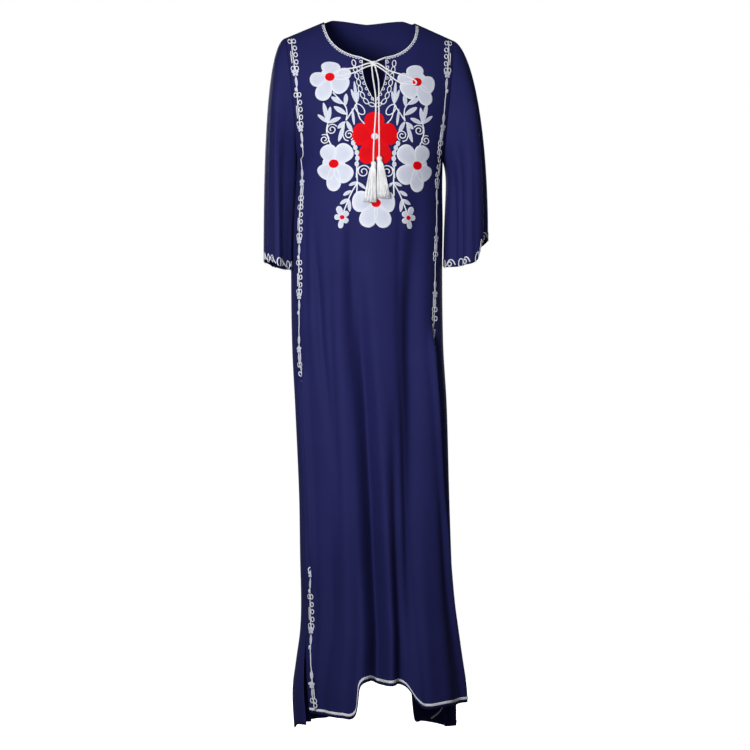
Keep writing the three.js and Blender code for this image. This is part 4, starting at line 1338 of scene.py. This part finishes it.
def slit_border(label, sign):
    lines = []
    chain = soft(*CHAIN)
    for k in range(CHAIN_LINKS):
        middle, turn = along(chain, (k + 0.5) / CHAIN_LINKS)
        link = loop(middle, 6.4, 3.7, turn, corners=16)
        lines.append((mirrored(link, sign), CHAIN_WIDTH, THREAD_HEIGHT))
    for middle in INNER_RINGS:
        ring = loop(middle, INNER_RING, INNER_RING, corners=10)
        lines.append((mirrored(ring, sign), INNER_RING_WIDTH, THREAD_HEIGHT))
    lines.append((mirrored(soft(*SLIT_LINE), sign), SLIT_LINE_WIDTH, THREAD_HEIGHT))
    stitched_lines("slit_border_" + label, lines, on_yoke, WHITE_THREAD)


slit_border("left", -1)
slit_border("right", 1)


# The neck's edging: a line along the edge, with a small ring hanging from it every few millimetres
EDGING_RING = 1.9
EDGING_RING_WIDTH = 1.4
EDGING_RING_DROP = 3.7
EDGING_STEP = 5.4
EDGING_LINE_WIDTH = 1.5
EDGING_LINE_DROP = 1.0


def neck_edging(label, sign):
    around = np.linspace(0.06, math.pi / 2, 400)
    x = NECK_HALF * np.cos(around)
    keep = x > SLIT_HALF + 1
    edge = np.column_stack([x, neck_height(x)])[keep]
    ahead = unit(np.gradient(edge, axis=0))
    side = np.column_stack([-ahead[:, 1], ahead[:, 0]])
    side = side * np.sign(-side[:, 1:2])
    length = run_lengths(edge)
    rings = int(length[-1] / EDGING_STEP)
    lines = [((edge + side * EDGING_LINE_DROP)[::6], EDGING_LINE_WIDTH, THREAD_HEIGHT)]
    for k in range(rings):
        i = np.searchsorted(length, (k + 0.5) * length[-1] / rings)
        middle = edge[i] + side[i] * EDGING_RING_DROP
        ring = loop(middle, EDGING_RING, EDGING_RING, corners=10)
        lines.append((ring, EDGING_RING_WIDTH, THREAD_HEIGHT))
    lines = [(np.asarray(line) * [sign, 1], width, height) for line, width, height in lines]
    stitched_lines("neck_edging_" + label, lines, on_yoke, WHITE_THREAD)


neck_edging("left", -1)
neck_edging("right", 1)

# The strips down both sides of the front. Two motifs take turns: one with rings beside a double stem, and
# one with a bare stem, a leaf and a flower. Places are across the strip and down from the motif's top.
STRIP_TOP = -36
MOTIF_LENGTH = 110
MOTIFS = {"left": "AABAABAABAAB", "right": "ABABBABABABA"}
RING_MOTIF_RINGS = [(-4.6, 6), (4.6, 6), (4.8, 21), (4.8, 35), (4.8, 50), (-4.4, 63), (4.4, 63)]
RING_MOTIF_LINES = [
    ((0, 0), (-0.6, 12), (-1.2, 30), (-0.6, 48), (0, 66)),
    ((-4.6, 27), (-5.2, 36), (-4.6, 52)),
    ((-0.5, 100), (0.6, 106), (0, 112)),
]
RING_MOTIF_LEAVES = [((0.5, 79), (0.8, 101), 2.9), ((-2.6, 101), (-2.8, 109), 2.4)]
RING_MOTIF_FLOWER = (0, 71)
STEM_MOTIF_RINGS = [(-4.2, 98), (4.2, 98), (3.6, 107)]
STEM_MOTIF_LINES = [
    ((0, 0), (0.8, 14), (0, 30), (0.6, 44)),
    ((0.6, 56), (0, 66)),
    ((4.2, 74), (4.4, 84), (3.6, 94)),
    ((0, 92), (0, 112)),
]
STEM_MOTIF_LEAVES = [((0.4, 40), (0, 58), 3.6), ((-1.2, 74), (-1.4, 93), 2.8)]
STEM_MOTIF_FLOWER = (-0.5, 67)
STRIP_RING_WIDTH = 2.1
STRIP_LINE_WIDTH = 2.4
STRIP_PETALS = (18, 90, 162, 234, 306)


def side_strip(label, side):
    place = on_strip(side)
    hand = side[1]
    lines = []
    pads = []
    for k, motif in enumerate(MOTIFS[label]):
        is_ringed = motif == "A"
        top = STRIP_TOP - k * MOTIF_LENGTH

        def at(spot):
            spot = np.asarray(spot, float)
            return np.stack([hand * spot[..., 0], top - spot[..., 1]], axis=-1)

        for spot in RING_MOTIF_RINGS if is_ringed else STEM_MOTIF_RINGS:
            lines.append((loop(at(spot), 3.7, 4.4, corners=14), STRIP_RING_WIDTH, THREAD_HEIGHT))
        for route in RING_MOTIF_LINES if is_ringed else STEM_MOTIF_LINES:
            lines.append((at(soft(*route)), STRIP_LINE_WIDTH, THREAD_HEIGHT))
        for root, tip, half in RING_MOTIF_LEAVES if is_ringed else STEM_MOTIF_LEAVES:
            pads.append((at(root), at(tip), half, 0, 0.4, LEAF_HEIGHT))
        middle = at(RING_MOTIF_FLOWER if is_ringed else STEM_MOTIF_FLOWER)
        for direction in STRIP_PETALS:
            ahead = heading(direction)
            pads.append((middle + ahead, middle + ahead * 8, 2.7, 0.25, 0, LEAF_HEIGHT))
    stitched_lines("strip_" + label, lines, place, WHITE_THREAD)
    pads_piece("strip_flowers_" + label, pads, place, WHITE_SATIN)


side_strip("left", LEFT)
side_strip("right", RIGHT)

# Cuffs: arches of thread that stand on the edge, each with a ring under its slope, and a tall loop between
CUFF_REPEATS = 8
CUFF_ARCH = [(0, 4), (3, 11), (8, 15), (13, 13.5), (19, 7), (26, 1.6)]
CUFF_ARCH_WIDTH = 2.5
CUFF_LOOP_WIDTH = 2.3


def cuff_trim(name, first):
    place = on_cuff(SLEEVES[name])
    repeat = cuff_lengths(SLEEVES[name])[1][-1] / CUFF_REPEATS
    lines = []
    for k in range(CUFF_REPEATS):
        start = first + k * repeat
        lines.append((soft(*CUFF_ARCH) + [start, 0], CUFF_ARCH_WIDTH, THREAD_HEIGHT))
        ring = loop((start + 12, 6.2), 4.4, 4.4, corners=14)
        tall = loop((start + 34, 6.0), 5.4, 8.6, begin=-60, end=240, corners=16)
        lines.append((ring, CUFF_LOOP_WIDTH, THREAD_HEIGHT))
        lines.append((tall, CUFF_LOOP_WIDTH, THREAD_HEIGHT))
    stitched_lines("cuff_trim_" + name, lines, place, WHITE_THREAD)


cuff_trim("left", 10)
cuff_trim("right", 22)


# Hem braids: flat plaits, whose section is a place up the cloth and a height over it
BRAID_SECTION = [
    (-2.5, -0.3), (2.5, -0.3), (2.5, 0.6), (1.7, 1.15), (0.85, 0.85), (0, 1.25), (-0.85, 0.85), (-1.7, 1.15),
    (-2.5, 0.6),
]
BRAID_STEPS = 420


def hem_braid(side, end):
    share = np.linspace(0.004, end, BRAID_STEPS)[:, None]
    up, height = np.array(BRAID_SECTION).T
    middle = BRAID_ABOVE_HEM + BRAID_WIDTH / 2
    rings = on_hem(side)(*np.broadcast_arrays(share, middle + up, height))
    lengths = np.stack([run_lengths(rings[:, k]) for k in range(len(up))], axis=-1)
    uv = np.stack(np.broadcast_arrays(up, lengths), axis=-1).reshape(-1, 2)
    faces = tube_faces(BRAID_STEPS, len(up), is_flipped=True)
    add_piece(side + "_braid", rings.reshape(-1, 3), faces, uv, WHITE_THREAD, (side + "_hem_braid",))


hem_braid("front", 0.996)
hem_braid("back", BACK_BRAID_END)

# The end of the braid inside the back's right corner: a short slanting line on the inner face
# Its places are thousandths of the panel's width, and heights over the hem.
BRAID_END = [(170, 41), (196, 24), (222, 8)]
BRAID_END_WIDTH = 4.2
BRAID_END_HEIGHT = 1.3


def braid_end():
    back_hem = on_hem("back")

    def place(across, up, height):
        return back_hem(across / 1000, up, -CLOTH - height)

    lines = [(soft(*BRAID_END), BRAID_END_WIDTH, BRAID_END_HEIGHT)]
    stitched_lines("back_braid_end", lines, place, WHITE_THREAD)


braid_end()


# Light and floor
def add_area(name, place, size, power):
    data = bpy.data.lights.new(name, "AREA")
    data.shape = "DISK"
    data.size = size
    data.energy = power
    lamp = bpy.data.objects.new(name, data)
    lamp.location = place
    lamp.rotation_euler = (CAMERA_TARGET - Vector(place)).to_track_quat("-Z", "Y").to_euler()
    bpy.context.scene.collection.objects.link(lamp)


def add_world():
    world = bpy.data.worlds.new("studio")
    world.use_nodes = True
    tree = world.node_tree
    tree.nodes.clear()
    path = add_node(tree, "ShaderNodeLightPath")
    dim = add_node(tree, "ShaderNodeBackground", {}, {"Color": (1, 1, 1, 1), "Strength": 0.1})
    bright = add_node(tree, "ShaderNodeBackground", {}, {"Color": (1, 1, 1, 1), "Strength": 1.0})
    seen = add_node(tree, "ShaderNodeMixShader", {}, {
        0: path.outputs["Is Camera Ray"], 1: dim.outputs[0], 2: bright.outputs[0],
    })
    add_node(tree, "ShaderNodeOutputWorld", {}, {"Surface": seen.outputs[0]})
    bpy.context.scene.world = world


# Studio floor: smooth white paper
def add_floor():
    bpy.ops.object.select_all(action="DESELECT")
    bpy.ops.mesh.primitive_plane_add(size=3.0, location=(0, 0, -1.5))
    floor = bpy.context.object
    floor.name = "floor"
    bpy.ops.object.transform_apply(location=True, rotation=True, scale=True)
    material, tree, surface, place, _ = new_material("white studio paper", 0.9, 0)
    grain = add_node(tree, "ShaderNodeTexNoise", {}, {"Vector": place, "Scale": 40.0, "Detail": 2.0})
    colour = add_node(tree, "ShaderNodeMix", COLOURS, {
        SHARE: grain.outputs[0], FIRST: linear("#FCFCFC"), SECOND: linear("#FFFFFF"),
    })
    tree.links.new(colour.outputs[MIXED], surface.inputs["Base Color"])
    surface.inputs["Emission Color"].default_value = (1, 1, 1, 1)
    surface.inputs["Emission Strength"].default_value = 0.9
    floor.data.materials.append(material)
    # The paper sends no light back up to the dress
    floor.visible_diffuse = False
    floor.visible_glossy = False


add_world()
add_area("key", (-0.6, -1.4, -0.3), 0.5, 19.5)
add_area("top", (0.1, -1.1, 0.6), 0.5, 3)
add_area("behind left", (-0.5, 1.6, 0.1), 0.8, 12)
add_area("behind right", (0.7, 1.5, -0.3), 0.8, 9)
add_floor()
bpy.context.scene.view_settings.view_transform = "Standard"
